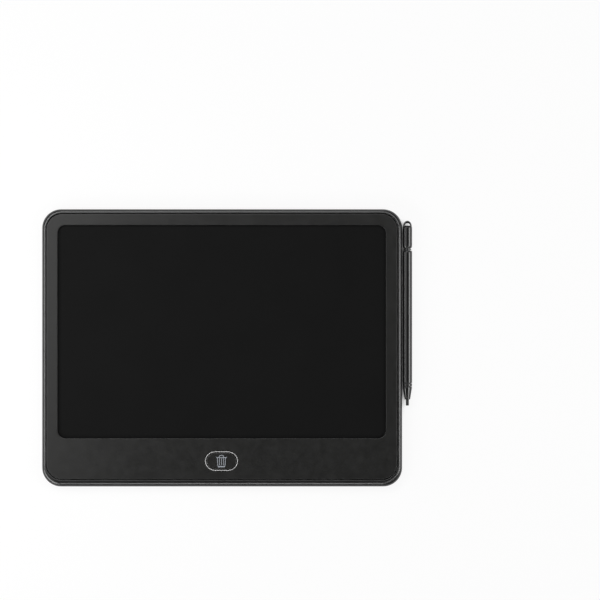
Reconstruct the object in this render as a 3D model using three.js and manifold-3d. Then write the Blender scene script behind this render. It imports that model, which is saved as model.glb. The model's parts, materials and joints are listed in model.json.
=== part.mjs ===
// LCD writing tablet with its stylus, in millimetres.
// +Z comes out of the screen, +Y is the top edge of the tablet, and +X is the side with the stylus.
// The origin is the middle of the flat back face.

import * as THREE from 'three';
import { mergeVertices } from 'three/addons/utils/BufferGeometryUtils.js';
import Module from 'manifold-3d';

// Counts of steps on round shapes
const cornerSteps = 8;
const edgeSteps = 4;
const roundSteps = 32;
const smallRoundSteps = 12;
const bayWallSteps = 6;

// Distances that only serve the modelling
const weldDistance = 0.0001;
const overrun = 2;

// Case, seen from the front
const caseWidth = 197.9;
const caseHeight = 152.4;
const caseCornerRadius = 10.4;
const caseEdgeRadius = 2;
const floorThickness = 1.4;
const rimLeft = 1.95;
const rimRight = 2.38;
const rimTop = 2.15;
const rimChin = 3.4;
const recessCornerRadius = 8.15;
const ledgeWidth = 1;
const cavityCornerRadius = 7.1;

// Front bezel, a panel set into the rim
const panelThickness = 1.4;
const panelEdge = 0.25;
const partingGap = 0.3;
const bezelLeft = 6.03;
const bezelRight = 6.3;
const bezelTop = 5.93;
const bezelChin = 23;
const windowCornerRadius = 4.6;
const windowChamfer = 0.7;
const snapThickness = 1;
const snapWidth = 8;
const snapReach = 2.4;
const snapToWall = 0.35;
const snapHook = 0.7;
const snapHookHeight = 0.6;
const snapHookLift = 0.5;
const snapHookClearance = 0.25;
const snapSideShares = [0.38, 0.08, -0.32];
const snapTopShares = [-0.32, 0, 0.32];
const snapChinShares = [-0.4, 0.24, 0.4];

// Writing film and what is stacked behind it
const filmThickness = 0.75;
const filmOverlap = 2.6;
const filmCornerRadius = 2;
const filmGap = 0.1;
const tapeThickness = 0.15;
const tapeWidth = 2;
const boardThickness = 1;
const boardOverlap = 1.5;
const boardCornerRadius = 1.5;
const boardClearance = 0.4;
const foamInset = 6;
const foamCornerRadius = 3;

// Coin cell and the bay round it
const coinRadius = 10;
const coinThickness = 2.5;
const coinEdge = 0.4;
const coinCapRadius = 8.4;
const coinCapHeight = 0.35;
const coinLift = 0.2;
const coinClearance = 0.35;
const coinToWall = 0.8;
const coinFromButton = 39.6;
const bayWall = 1;
const bayWallDrop = 0.2;
const bayWallHalfAngle = 40;

// Battery door, on two tongues at its left end and one screw at its right end
const doorThickness = 0.8;
const doorLength = 31.2;
const doorLedge = 0.8;
const doorCornerRadius = 1.5;
const doorSideGap = 0.2;
const doorFaceGap = 0.1;
const coinFromHinge = 13.2;
const doorRibLength = 12;
const doorRibWidth = 1.2;
const doorRibSpacing = 8;
const doorRibGap = 0.1;
const tongueLedge = 0.6;
const tongueReach = 1.6;
const tongueWidth = 3;
const tongueSpacing = 15;
const tongueThickness = 0.7;
const tongueGap = 0.3;
const tongueNeck = 1;
const tongueSideGap = 0.3;
const tongueSwingGap = 0.15;

// Battery door screw and its boss
const screwFromHinge = 27.6;
const screwHeadRadius = 1.8;
const screwHeadHeight = 0.6;
const screwHeadSink = 0.1;
const screwHeadClearance = 0.3;
const screwSeatDepth = 0.75;
const screwShankRadius = 1;
const screwLength = 3;
const screwHoleClearance = 0.25;
const screwSwingGap = 0.15;
const screwCrossLength = 2.2;
const screwCrossWidth = 0.5;
const screwCrossDepth = 0.35;
const doorBossRadius = 2.6;
const doorBossHeight = 0.6;
const doorBossClearance = 0.3;
const caseBossWall = 0.9;
const caseBossDrop = 0.2;

// Erase button, its trim ring and the tact switch below it
const buttonFromPanelBottom = 10.3;
const ringWidth = 18.3;
const ringHeight = 10.9;
const ringEndLength = 5.8;
const ringStroke = 0.75;
const ringSeatDepth = 0.8;
const ringProud = 0.1;
const ringGap = 0.08;
const ringEdge = 0.15;
const buttonGap = 0.25;
const buttonProud = 0.15;
const buttonEdge = 0.3;
const buttonTravel = 0.4;
const buttonFlangeWidth = 1;
const buttonFlangeThickness = 0.6;
const buttonFlangeGap = 0.1;
const tactGap = 0.1;
const tactSize = 4.2;
const tactHeight = 1.1;
const tactEdge = 0.2;
const plungerRadius = 1.1;
const plungerEngagement = 0.4;
const plungerClearance = 0.15;
const plungerEndGap = 0.1;

// Circuit board, measured from the middle of the erase button
const pcbThickness = 0.8;
const pcbReachLeft = 20.4;
const pcbReachRight = 19.8;
const pcbHeight = 17.6;
const pcbToWall = 0.5;
const pcbCornerRadius = 1;
const pcbScrewX = 14.2;
const pcbScrewY = 6.2;
const pcbScrewHeadRadius = 1.5;
const pcbScrewHeadHeight = 0.7;
const pcbScrewShankRadius = 0.75;
const pcbScrewClearance = 0.25;
const pcbScrewFloor = 0.6;
const pcbScrewEndGap = 0.15;
const standoffWall = 0.9;

// What is soldered to the circuit board, measured from the middle of the erase button
const chipLength = 4.9;
const chipWidth = 3.9;
const chipHeight = 1.2;
const chipEdge = 0.2;
const chipX = 12.2;
const chipY = -0.6;
const chipLeadCount = 4;
const chipLeadPitch = 1.2;
const chipLeadWidth = 0.4;
const chipLeadReach = 1;
const chipLeadHeight = 0.3;
const coilRadius = 2.4;
const coilHeight = 1.6;
const coilFlange = 0.35;
const coilWaist = 0.4;
const coilX = -12.2;
const coilY = 0.8;
const capacitorLength = 1.6;
const capacitorWidth = 0.8;
const capacitorHeight = 0.8;
const capacitorPlaces = 3;
const capacitorPitch = 4.2;
const capacitorDrop = 6.6;
const flexWidth = 8;
const flexThickness = 0.15;
const flexX = 9.5;
const flexOnFilm = 1.4;
const flexFall = 1.8;
const flexOnBoard = 2.6;
const flexBoardInset = 0.6;

// Battery contacts
const contactThickness = 0.25;
const contactGap = 0.1;
const contactFootLength = 2.8;
const contactFootWidth = 2;
const contactFootInset = 0.4;
const contactToBoss = 0.7;
const positiveContactAngle = 32;
const positiveContactReach = 1.6;
const positiveContactLow = 0.7;
const positiveContactHigh = 0.4;
const negativeContactWidth = 2.4;
const negativeContactRise = 0.3;
const negativeContactLean = 0.4;
const negativeContactPast = 2;
const negativeContactBend = 5;
const negativeContactTip = 2;

// Lock switch at the right edge of the circuit board, and its slider in the back
const lockBodyWidth = 2.8;
const lockBodyLength = 6.7;
const lockBodyHeight = 1.4;
const lockBodyInset = 0.2;
const lockTravel = 2;
const lockActuatorWidth = 1.3;
const lockActuatorThickness = 0.5;
const lockActuatorRise = 0.45;
const lockActuatorInside = 1.1;
const lockActuatorReach = 2.9;
const lockActuatorGap = 0.15;
const sliderFromPcb = 4.6;
const knobWidth = 3.8;
const knobLength = 5.5;
const knobSink = 0.1;
const knobGap = 0.25;
const knobEdge = 0.25;
const knobGrooveCount = 3;
const knobGroovePitch = 1.3;
const knobGrooveWidth = 0.5;
const knobGrooveDepth = 0.35;
const sliderFlangeMargin = 0.7;
const sliderFlangeThickness = 0.5;
const sliderFlangeGap = 0.1;
const sliderPostWidth = 1.8;
const sliderPostLength = 3.4;
const sliderPostAbove = 0.4;
const sliderRailGap = 0.2;
const sliderRailWidth = 0.8;
const sliderRailHeight = 0.9;
const dishMargin = 1.6;
const dishDepth = 0.45;

// Stylus, from its loop down to its nib
const stylusRadius = 2.56;
const stylusFromCase = 2.95;
const stylusTopDrop = 6.3;
const loopHeight = 3.1;
const loopWidth = 4.7;
const loopThickness = 2.4;
const loopHoleWidth = 3.1;
const loopHoleHeight = 1.35;
const loopHoleLift = 0.4;
const loopSink = 0.5;
const loopEdge = 0.25;
const capLength = 12;
const capTopRadius = 2.25;
const capTopRound = 0.6;
const capNeckRadius = 1.85;
const capNeckRound = 1.1;
const neckGap = 0.3;
const neckRingHeight = 0.7;
const neckRingRadius = 2.1;
const neckRingEdge = 0.15;
const barrelLength = 73;
const barrelTopRadius = 2.05;
const barrelTopRound = 0.7;
const barrelEndRadius = 2.3;
const barrelEndRound = 0.3;
const boreRadius = 1.55;
const plugClearance = 0.2;
const plugLength = 6;
const ringPlay = 0.15;
const tipGap = 0.12;
const tipRingHeight = 1.6;
const tipRingRadius = 2.52;
const tipRingEdge = 0.3;
const coneLength = 7;
const coneTopRadius = 2.3;
const coneShoulder = 0.4;
const coneShoulderRadius = 2.54;
const coneEndRadius = 1.48;
const coneEndRound = 0.2;
const nibRadius = 0.82;
const nibLength = 3.4;
const nibInside = 3;
const nibRound = 0.35;
const nibClearance = 0.13;
const coreClearance = 0.3;
const coreEndGap = 0.3;

// Pen scoop in the side of the case, and the magnets behind it
const scoopClearance = 0.75;
const scoopEndLength = 8;
const scoopTopFromCorner = 3.8;
const scoopBelowBarrel = 1.2;
const scoopEndSteps = 6;
const magnetThickness = 1.6;
const magnetLength = 10;
const magnetHeight = 2.4;
const magnetPocketDepth = 1.3;
const magnetPocketGap = 0.2;
const magnetPlaceShares = [0.25, -0.05];

const wasm = await Module();
wasm.setup();

// Areas are given by their four edges, and circles by degrees
const radians = THREE.MathUtils.degToRad;

function area(left, right, bottom, top) {
  return { left, right, bottom, top };
}

function areaAround(x, y, width, height) {
  return area(x - width / 2, x + width / 2, y - height / 2, y + height / 2);
}

function inset(edges, amount) {
  return area(edges.left + amount, edges.right - amount, edges.bottom + amount, edges.top - amount);
}

function roundedShape(edges, radius) {
  const shape = new THREE.Shape();
  shape.moveTo(edges.left + radius, edges.bottom);
  shape.lineTo(edges.right - radius, edges.bottom);
  shape.absarc(edges.right - radius, edges.bottom + radius, radius, -Math.PI / 2, 0);
  shape.lineTo(edges.right, edges.top - radius);
  shape.absarc(edges.right - radius, edges.top - radius, radius, 0, Math.PI / 2);
  shape.lineTo(edges.left + radius, edges.top);
  shape.absarc(edges.left + radius, edges.top - radius, radius, Math.PI / 2, Math.PI);
  shape.lineTo(edges.left, edges.bottom + radius);
  shape.absarc(edges.left + radius, edges.bottom + radius, radius, Math.PI, Math.PI * 1.5);
  return shape;
}

// A long oval: straight top and bottom, and half an ellipse at each end
function ovalShape(width, height, endLength) {
  const straight = width / 2 - endLength;
  const shape = new THREE.Shape();
  shape.moveTo(-straight, -height / 2);
  shape.lineTo(straight, -height / 2);
  shape.absellipse(straight, 0, endLength, height / 2, -Math.PI / 2, Math.PI / 2);
  shape.lineTo(-straight, height / 2);
  shape.absellipse(-straight, 0, endLength, height / 2, Math.PI / 2, Math.PI * 1.5);
  return shape;
}

// The outline of a thin strip that follows a few bends
function ribbonShape(points, thickness) {
  const left = [];
  const right = [];
  points.forEach((point, i) => {
    const before = points[Math.max(i - 1, 0)];
    const after = points[Math.min(i + 1, points.length - 1)];
    const into = point.clone().sub(i > 0 ? before : point.clone().multiplyScalar(2).sub(after)).normalize();
    const out = after.clone().sub(i < points.length - 1 ? point : before).normalize();
    const across = new THREE.Vector2(-into.y - out.y, into.x + out.x).normalize();
    const reach = thickness / 2 / across.dot(new THREE.Vector2(-out.y, out.x));
    left.push(point.clone().addScaledVector(across, reach));
    right.unshift(point.clone().addScaledVector(across, -reach));
  });
  return new THREE.Shape([...left, ...right]);
}

// A slab between two heights, from a flat outline
function slab(shape, low, high, steps = cornerSteps) {
  const options = { depth: high - low, bevelEnabled: false, curveSegments: steps };
  return new THREE.ExtrudeGeometry(shape, options).translate(0, 0, low);
}

// A slab whose upper and lower edges are rounded, inside its outline
function softSlab(shape, low, high, edge, steps = cornerSteps, rounds = edgeSteps) {
  const options = {
    depth: high - low - 2 * edge,
    bevelEnabled: true,
    bevelThickness: edge,
    bevelSize: edge,
    bevelOffset: -edge,
    bevelSegments: rounds,
    curveSegments: steps,
  };
  return new THREE.ExtrudeGeometry(shape, options).translate(0, 0, low + edge);
}

function block(edges, low, high) {
  const box = new THREE.BoxGeometry(edges.right - edges.left, edges.top - edges.bottom, high - low);
  return box.translate((edges.left + edges.right) / 2, (edges.bottom + edges.top) / 2, (low + high) / 2);
}

function post(x, y, radius, low, high, steps = smallRoundSteps) {
  const cylinder = new THREE.CylinderGeometry(radius, radius, high - low, steps);
  return cylinder.rotateX(Math.PI / 2).translate(x, y, (low + high) / 2);
}

// A profile of [radius, place] pairs turned round the Y axis, which is also the stylus axis
function turned(profile, steps = roundSteps) {
  return new THREE.LatheGeometry(profile.map(([radius, place]) => new THREE.Vector2(radius, place)), steps);
}

function turnedUpright(profile, steps = roundSteps) {
  return turned(profile, steps).rotateX(Math.PI / 2);
}

// One closed body: shared vertices, no collapsed triangles, faces pointing out
function welded(source) {
  const bare = new THREE.BufferGeometry();
  bare.setAttribute('position', source.getAttribute('position').clone());
  if (source.index) bare.setIndex(source.index.clone());
  const merged = mergeVertices(bare, weldDistance);
  const place = merged.getAttribute('position');
  const corner = (i) => new THREE.Vector3().fromBufferAttribute(place, i);
  const kept = [];
  let volume = 0;
  for (let i = 0; i < merged.index.count; i += 3) {
    const [a, b, c] = [0, 1, 2].map((k) => merged.index.getX(i + k));
    if (a === b || b === c || c === a) continue;
    kept.push(a, b, c);
    volume += corner(a).dot(corner(b).cross(corner(c)));
  }
  merged.setIndex(volume < 0 ? kept.reverse() : kept);
  return merged;
}

function solidOf(shape) {
  if (!shape.isBufferGeometry) return shape;
  const body = welded(shape);
  const vertProperties = new Float32Array(body.getAttribute('position').array);
  const triVerts = new Uint32Array(body.index.array);
  return new wasm.Manifold(new wasm.Mesh({ numProp: 3, vertProperties, triVerts }));
}

function joined(first, ...others) {
  return others.reduce((whole, other) => whole.add(solidOf(other)), solidOf(first));
}

function cut(first, ...others) {
  return others.reduce((whole, other) => whole.subtract(solidOf(other)), solidOf(first));
}

function geometryOf(shape) {
  if (shape.isBufferGeometry) return welded(shape);
  const mesh = shape.getMesh();
  const geometry = new THREE.BufferGeometry();
  geometry.setAttribute('position', new THREE.BufferAttribute(mesh.vertProperties, mesh.numProp));
  geometry.setIndex(new THREE.BufferAttribute(mesh.triVerts, 1));
  return geometry;
}

const finishes = {
  caseBlack: { color: 0x2b2b2a, roughness: 0.38, metalness: 0 },
  panelBlack: { color: 0x2e2e2d, roughness: 0.42, metalness: 0 },
  screenBlack: { color: 0x1b1b1b, roughness: 0.3, metalness: 0 },
  stylusBlack: { color: 0x151515, roughness: 0.15, metalness: 0 },
  silver: { color: 0xb4b4b4, roughness: 0.3, metalness: 1 },
  steel: { color: 0xa9abad, roughness: 0.35, metalness: 1 },
  brightSteel: { color: 0xc9cacb, roughness: 0.22, metalness: 1 },
  magnet: { color: 0x8c8f92, roughness: 0.3, metalness: 1 },
  boardGreen: { color: 0x1f5a35, roughness: 0.45, metalness: 0 },
  chipBlack: { color: 0x1c1c1e, roughness: 0.55, metalness: 0 },
  ferrite: { color: 0x3a3a3c, roughness: 0.7, metalness: 0 },
  ceramic: { color: 0xb08d62, roughness: 0.5, metalness: 0 },
  switchWhite: { color: 0xd8d6ce, roughness: 0.5, metalness: 0 },
  foamGrey: { color: 0x4a4a4c, roughness: 0.95, metalness: 0 },
  boardBlack: { color: 0x161616, roughness: 0.6, metalness: 0 },
  tapeBlack: { color: 0x0f0f0f, roughness: 0.7, metalness: 0 },
  flexAmber: { color: 0xb5722a, roughness: 0.35, metalness: 0 },
};

function place(group, name, finish, shape) {
  const geometry = geometryOf(shape);
  geometry.computeVertexNormals();
  const mesh = new THREE.Mesh(geometry, new THREE.MeshStandardMaterial({ ...finishes[finish] }));
  mesh.name = name;
  group.add(mesh);
}

// Heights above the back face, from the coin cell up to the bezel
const coinBottom = floorThickness + coinLift;
const coinTop = coinBottom + coinThickness;
const filmBottom = coinTop + filmGap;
const filmTop = filmBottom + filmThickness;
const panelBottom = filmTop + tapeThickness;
const caseThickness = panelBottom + panelThickness;
const boardBottom = filmBottom - boardThickness;

// Heights of the button stack, from the bezel down to the circuit board
const flangeTop = panelBottom - buttonFlangeGap;
const flangeBottom = flangeTop - buttonFlangeThickness;
const plungerTop = flangeBottom - tactGap;
const tactTop = flangeBottom - buttonTravel - tactGap;
const pcbTop = tactTop - tactHeight;
const pcbBottom = pcbTop - pcbThickness;

// Outlines seen from the front
const caseArea = areaAround(0, 0, caseWidth, caseHeight);
const recessArea = area(
  caseArea.left + rimLeft,
  caseArea.right - rimRight,
  caseArea.bottom + rimChin,
  caseArea.top - rimTop,
);
const cavityArea = inset(recessArea, ledgeWidth);
const panelArea = inset(recessArea, partingGap);
const windowArea = area(
  panelArea.left + bezelLeft,
  panelArea.right - bezelRight,
  panelArea.bottom + bezelChin,
  panelArea.top - bezelTop,
);
const filmArea = inset(windowArea, -filmOverlap);
const panelCornerRadius = recessCornerRadius - partingGap;

// Middles of the button, the coin cell and the stylus
const buttonX = (windowArea.left + windowArea.right) / 2;
const buttonY = panelArea.bottom + buttonFromPanelBottom;
const coinX = buttonX - coinFromButton;
const coinY = cavityArea.bottom + coinToWall + coinRadius;
const stylusX = caseArea.right + stylusFromCase;
const stylusZ = caseThickness / 2;

// Battery bay, measured from its hinge line, which is the outer edge of the door's left end
const hingeX = coinX - coinFromHinge;
const bayRadius = coinRadius + coinClearance;
const bayOuterRadius = bayRadius + bayWall;
const doorHeight = 2 * (bayRadius + doorLedge) - 2 * doorSideGap;
const screwX = hingeX + screwFromHinge;
const doorBossHoleRadius = doorBossRadius + doorBossClearance;
const caseBossRadius = doorBossHoleRadius + caseBossWall;
const caseBossTop = coinTop - caseBossDrop;
const tongueBottom = floorThickness + tongueGap;
const tongueTop = tongueBottom + tongueThickness;
const tongueNeckLeft = hingeX + tongueLedge + tongueGap;
const tongueNeckRight = tongueNeckLeft + tongueNeck;
const tonguePlaces = [coinY - tongueSpacing / 2, coinY + tongueSpacing / 2];

// Circuit board and lock slider
const pcbArea = area(
  buttonX - pcbReachLeft,
  buttonX + pcbReachRight,
  cavityArea.bottom + pcbToWall,
  cavityArea.bottom + pcbToWall + pcbHeight,
);
const pcbScrewPlaces = [
  [buttonX - pcbScrewX, buttonY - pcbScrewY],
  [buttonX + pcbScrewX, buttonY - pcbScrewY],
  [buttonX - pcbScrewX, buttonY + pcbScrewY],
];
const sliderX = pcbArea.right + sliderFromPcb;
const lockY = buttonY;
const sliderY = lockY - lockTravel / 2;
const slotArea = areaAround(sliderX, lockY, knobWidth + 2 * knobGap, knobLength + lockTravel + 2 * knobGap);
const sliderFlangeWidth = knobWidth + 2 * knobGap + 2 * sliderFlangeMargin;
const sliderFlangeLength = knobLength + 2 * lockTravel + 2 * knobGap + 2 * sliderFlangeMargin;
const sliderFlangeBottom = floorThickness + sliderFlangeGap;
const sliderFlangeTop = sliderFlangeBottom + sliderFlangeThickness;
const lockActuatorBottom = pcbTop + lockActuatorRise;
const lockActuatorTop = lockActuatorBottom + lockActuatorThickness;

// Stylus heights along its own axis, as places on Y
const stylusTop = caseArea.top - stylusTopDrop;
const capTop = stylusTop - loopHeight;
const capBottom = capTop - capLength;
const neckRingTop = capBottom - neckGap;
const neckRingBottom = neckRingTop - neckRingHeight;
const barrelTop = neckRingBottom - neckGap;
const barrelBottom = barrelTop - barrelLength;
const tipRingTop = barrelBottom - tipGap;
const tipRingBottom = tipRingTop - tipRingHeight;
const coneTop = tipRingBottom - tipGap;
const coneBottom = coneTop - coneLength;
const nibBottom = coneBottom - nibLength;
const plugRadius = boreRadius - plugClearance;

// Places of the snap tabs along the inner wall of the case, as areas seen from the front
function snapTabs(outward, thickness) {
  const wall = inset(cavityArea, snapToWall);
  const width = panelArea.right - panelArea.left;
  const height = panelArea.top - panelArea.bottom;
  const middleX = (panelArea.left + panelArea.right) / 2;
  const middleY = (panelArea.bottom + panelArea.top) / 2;
  const half = snapWidth / 2;
  const tabs = [];
  for (const share of snapSideShares) {
    const y = middleY + share * height;
    tabs.push(area(wall.left - outward, wall.left - outward + thickness, y - half, y + half));
    tabs.push(area(wall.right + outward - thickness, wall.right + outward, y - half, y + half));
  }
  for (const share of snapTopShares) {
    const x = middleX + share * width;
    tabs.push(area(x - half, x + half, wall.top + outward - thickness, wall.top + outward));
  }
  for (const share of snapChinShares) {
    const x = middleX + share * width;
    tabs.push(area(x - half, x + half, wall.bottom - outward, wall.bottom - outward + thickness));
  }
  return tabs;
}

const snapBottom = panelBottom - snapReach;
const hookBottom = snapBottom + snapHookLift;
const hookTop = hookBottom + snapHookHeight;

// Two arcs of wall that hold the coin cell
function bayWalls() {
  return [90, 270].map((middle) => {
    const from = radians(middle - bayWallHalfAngle);
    const to = radians(middle + bayWallHalfAngle);
    const shape = new THREE.Shape();
    shape.absarc(coinX, coinY, bayOuterRadius, from, to, false);
    shape.absarc(coinX, coinY, bayRadius, to, from, true);
    return slab(shape, floorThickness - doorThickness / 2, coinTop - bayWallDrop, bayWallSteps);
  });
}

function scoopCutter() {
  const radius = stylusRadius + scoopClearance;
  const high = caseArea.top - caseCornerRadius - scoopTopFromCorner;
  const low = barrelBottom - scoopBelowBarrel;
  const profile = [];
  for (let i = 0; i <= scoopEndSteps; i += 1) {
    const turn = (Math.PI / 2) * (1 - i / scoopEndSteps);
    profile.push([radius * Math.cos(turn), low - scoopEndLength * Math.sin(turn)]);
  }
  for (let i = 0; i <= scoopEndSteps; i += 1) {
    const turn = (Math.PI / 2) * (i / scoopEndSteps);
    profile.push([radius * Math.cos(turn), high + scoopEndLength * Math.sin(turn)]);
  }
  profile[0][0] = 0;
  profile[profile.length - 1][0] = 0;
  return turned(profile).translate(stylusX, 0, stylusZ);
}

function magnetPlaces() {
  const height = caseArea.top - caseArea.bottom;
  return magnetPlaceShares.map((share) => share * height);
}

const magnetRight = cavityArea.right + magnetPocketDepth;

function backCover() {
  const shell = cut(
    softSlab(roundedShape(caseArea, caseCornerRadius), 0, caseThickness, caseEdgeRadius),
    slab(roundedShape(recessArea, recessCornerRadius), panelBottom, caseThickness + overrun),
    slab(roundedShape(cavityArea, cavityCornerRadius), floorThickness, caseThickness + overrun),
    scoopCutter(),
  );

  // Battery bay: walls and screw boss up from the floor, then the door's rebate and the holes through it
  const doorArea = area(hingeX, hingeX + doorLength, coinY - doorHeight / 2, coinY + doorHeight / 2);
  const rebateTop = doorThickness + doorFaceGap;
  const shankSide = screwX - hingeX + screwShankRadius;
  const screwTip = screwHeadSink + screwHeadHeight + screwLength;
  const swing = Math.hypot(shankSide, screwTip) - shankSide;
  const caseBoss = post(screwX, coinY, caseBossRadius, rebateTop, caseBossTop, roundSteps);
  const doorBossTop = doorThickness + doorBossHeight + doorFaceGap;
  const slotLeft = hingeX + tongueLedge;
  const slotRight = hingeX + Math.hypot(tongueNeckRight - hingeX, tongueTop) + tongueSwingGap;
  const slotHalf = tongueWidth / 2 + tongueSideGap;
  const tongueSlots = tonguePlaces.map((y) => area(slotLeft, slotRight, y - slotHalf, y + slotHalf));
  const bayCut = cut(
    joined(shell, ...bayWalls(), caseBoss),
    slab(roundedShape(inset(doorArea, -doorSideGap), doorCornerRadius + doorSideGap), -overrun, rebateTop),
    post(coinX, coinY, bayRadius, -overrun, coinTop, 2 * roundSteps),
    post(screwX, coinY, doorBossHoleRadius, -overrun, doorBossTop, roundSteps),
    post(screwX, coinY, screwShankRadius + swing + screwSwingGap, 0, caseBossTop + overrun, roundSteps),
    ...tongueSlots.map((slot) => block(slot, 0, floorThickness + overrun)),
  );

  // Lock slider: its slot in a shallow dish, and a rail on each side inside
  const railBase = floorThickness - dishDepth / 2;
  const railTop = floorThickness + sliderRailHeight;
  const railInner = sliderFlangeWidth / 2 + sliderRailGap;
  const railHalf = sliderFlangeLength / 2;
  const rails = [
    area(sliderX - railInner - sliderRailWidth, sliderX - railInner, lockY - railHalf, lockY + railHalf),
    area(sliderX + railInner, sliderX + railInner + sliderRailWidth, lockY - railHalf, lockY + railHalf),
  ];
  const dish = inset(slotArea, -dishMargin);
  const withLock = cut(
    joined(bayCut, ...rails.map((rail) => block(rail, railBase, railTop))),
    slab(roundedShape(dish, (dish.right - dish.left) / 2), -overrun, dishDepth),
    slab(roundedShape(slotArea, knobEdge), -overrun, floorThickness + overrun / 2),
  );

  // Standoffs of the circuit board, with blind holes for its screws
  const standoffBore = pcbScrewShankRadius + pcbScrewClearance;
  const standoffRadius = standoffBore + standoffWall;
  const standoffs = pcbScrewPlaces.map(([x, y]) => post(x, y, standoffRadius, floorThickness / 2, pcbBottom));
  const standoffBores = pcbScrewPlaces.map(([x, y]) => post(x, y, standoffBore, pcbScrewFloor, pcbTop));

  // Undercuts for the snap hooks, and pockets for the magnets
  const undercutDepth = snapToWall + snapHook + snapHookClearance;
  const undercuts = snapTabs(undercutDepth - snapHookClearance, undercutDepth).map((tab) => {
    const sideways = tab.right - tab.left > tab.top - tab.bottom;
    const wider = sideways
      ? area(tab.left - snapHookClearance, tab.right + snapHookClearance, tab.bottom, tab.top)
      : area(tab.left, tab.right, tab.bottom - snapHookClearance, tab.top + snapHookClearance);
    return block(wider, hookBottom - snapHookClearance, hookTop + snapHookClearance);
  });
  const pockets = magnetPlaces().map((y) => {
    const half = magnetLength / 2 + magnetPocketGap;
    const edges = area(cavityArea.right - overrun, magnetRight, y - half, y + half);
    return block(edges, floorThickness, floorThickness + magnetHeight + magnetPocketGap);
  });
  return cut(joined(withLock, ...standoffs), ...standoffBores, ...undercuts, ...pockets);
}

function ringShape(shrink) {
  return ovalShape(ringWidth - 2 * shrink, ringHeight - 2 * shrink, ringEndLength - shrink);
}

function frontBezel() {
  const panel = softSlab(roundedShape(panelArea, panelCornerRadius), panelBottom, caseThickness, panelEdge);
  const windowShape = roundedShape(windowArea, windowCornerRadius);
  const chamferOptions = {
    depth: overrun,
    bevelEnabled: true,
    bevelThickness: windowChamfer,
    bevelSize: windowChamfer,
    bevelSegments: 1,
    curveSegments: cornerSteps,
  };
  const chamfer = new THREE.ExtrudeGeometry(windowShape, chamferOptions).translate(0, 0, caseThickness);
  const high = caseThickness + overrun;
  const buttonHole = slab(ringShape(ringStroke), panelBottom - overrun, high, roundSteps / 2);
  const ringSeat = slab(ringShape(-ringGap), caseThickness - ringSeatDepth, high, roundSteps / 2);
  const open = cut(
    panel,
    slab(windowShape, panelBottom - overrun, high),
    chamfer,
    buttonHole.translate(buttonX, buttonY, 0),
    ringSeat.translate(buttonX, buttonY, 0),
  );
  const tabRoot = panelBottom + panelThickness / 2;
  const tabs = snapTabs(0, snapThickness).map((tab) => block(tab, snapBottom, tabRoot));
  const hooks = snapTabs(snapHook, snapThickness + snapHook).map((tab) => block(tab, hookBottom, hookTop));
  return joined(open, ...tabs, ...hooks);
}

function buttonTrimRing() {
  const seatBottom = caseThickness - ringSeatDepth;
  const top = caseThickness + ringProud;
  const rounded = softSlab(ringShape(0), seatBottom, top, ringEdge, roundSteps / 2, 2);
  const hole = slab(ringShape(ringStroke), seatBottom - overrun, top + overrun, roundSteps / 2);
  return cut(rounded, hole);
}

function eraseButton() {
  const cap = softSlab(
    ringShape(ringStroke + buttonGap),
    flangeBottom,
    caseThickness + buttonProud,
    buttonEdge,
    roundSteps / 2,
  );
  const flangeShape = ringShape(ringStroke + buttonGap - buttonFlangeWidth);
  const flange = slab(flangeShape, flangeBottom, flangeTop, roundSteps / 2);
  return joined(flange, cap);
}

function coinCell() {
  const capTop = coinTop;
  const canTop = coinTop - coinCapHeight;
  return turnedUpright([
    [0, coinBottom],
    [coinRadius - coinEdge, coinBottom],
    [coinRadius, coinBottom + coinEdge],
    [coinRadius, canTop - coinEdge],
    [coinRadius - coinEdge, canTop],
    [coinCapRadius, canTop],
    [coinCapRadius, capTop - coinCapHeight / 2],
    [coinCapRadius - coinEdge, capTop],
    [0, capTop],
  ], 2 * roundSteps);
}

function batteryDoor() {
  const doorArea = area(hingeX, hingeX + doorLength, coinY - doorHeight / 2, coinY + doorHeight / 2);
  const plate = slab(roundedShape(doorArea, doorCornerRadius), 0, doorThickness);
  const ribTop = coinBottom - doorRibGap;
  const ribs = [-1, 1].map((side) => {
    const rib = areaAround(coinX, coinY + (side * doorRibSpacing) / 2, doorRibLength, doorRibWidth);
    return block(rib, doorThickness / 2, ribTop);
  });
  const tongueLeft = hingeX + tongueLedge - tongueReach;
  const tongues = tonguePlaces.flatMap((y) => {
    const low = y - tongueWidth / 2;
    const high = y + tongueWidth / 2;
    return [
      block(area(tongueNeckLeft, tongueNeckRight, low, high), doorThickness / 2, tongueTop),
      block(area(tongueLeft, tongueNeckRight, low, high), tongueBottom, tongueTop),
    ];
  });
  const bossTop = doorThickness + doorBossHeight;
  const boss = post(screwX, coinY, doorBossRadius, doorThickness / 2, bossTop, roundSteps);
  return cut(
    joined(plate, ...ribs, ...tongues, boss),
    post(screwX, coinY, screwHeadRadius + screwHeadClearance, -overrun, screwSeatDepth, roundSteps),
    post(screwX, coinY, screwShankRadius + screwHoleClearance, -overrun, bossTop + overrun, roundSteps),
  );
}

function batteryDoorScrew() {
  const headTop = screwHeadSink + screwHeadHeight;
  const tip = headTop + screwLength;
  const body = turnedUpright([
    [0, screwHeadSink],
    [screwHeadRadius - screwHeadHeight / 2, screwHeadSink],
    [screwHeadRadius, screwHeadSink + screwHeadHeight / 2],
    [screwHeadRadius, headTop],
    [screwShankRadius, headTop],
    [screwShankRadius, tip - screwShankRadius / 2],
    [screwShankRadius / 2, tip],
    [0, tip],
  ]);
  const slotHigh = screwHeadSink + screwCrossDepth;
  return cut(
    body,
    block(areaAround(0, 0, screwCrossLength, screwCrossWidth), -overrun, slotHigh),
    block(areaAround(0, 0, screwCrossWidth, screwCrossLength), -overrun, slotHigh),
  ).translate([screwX, coinY, 0]);
}

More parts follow.
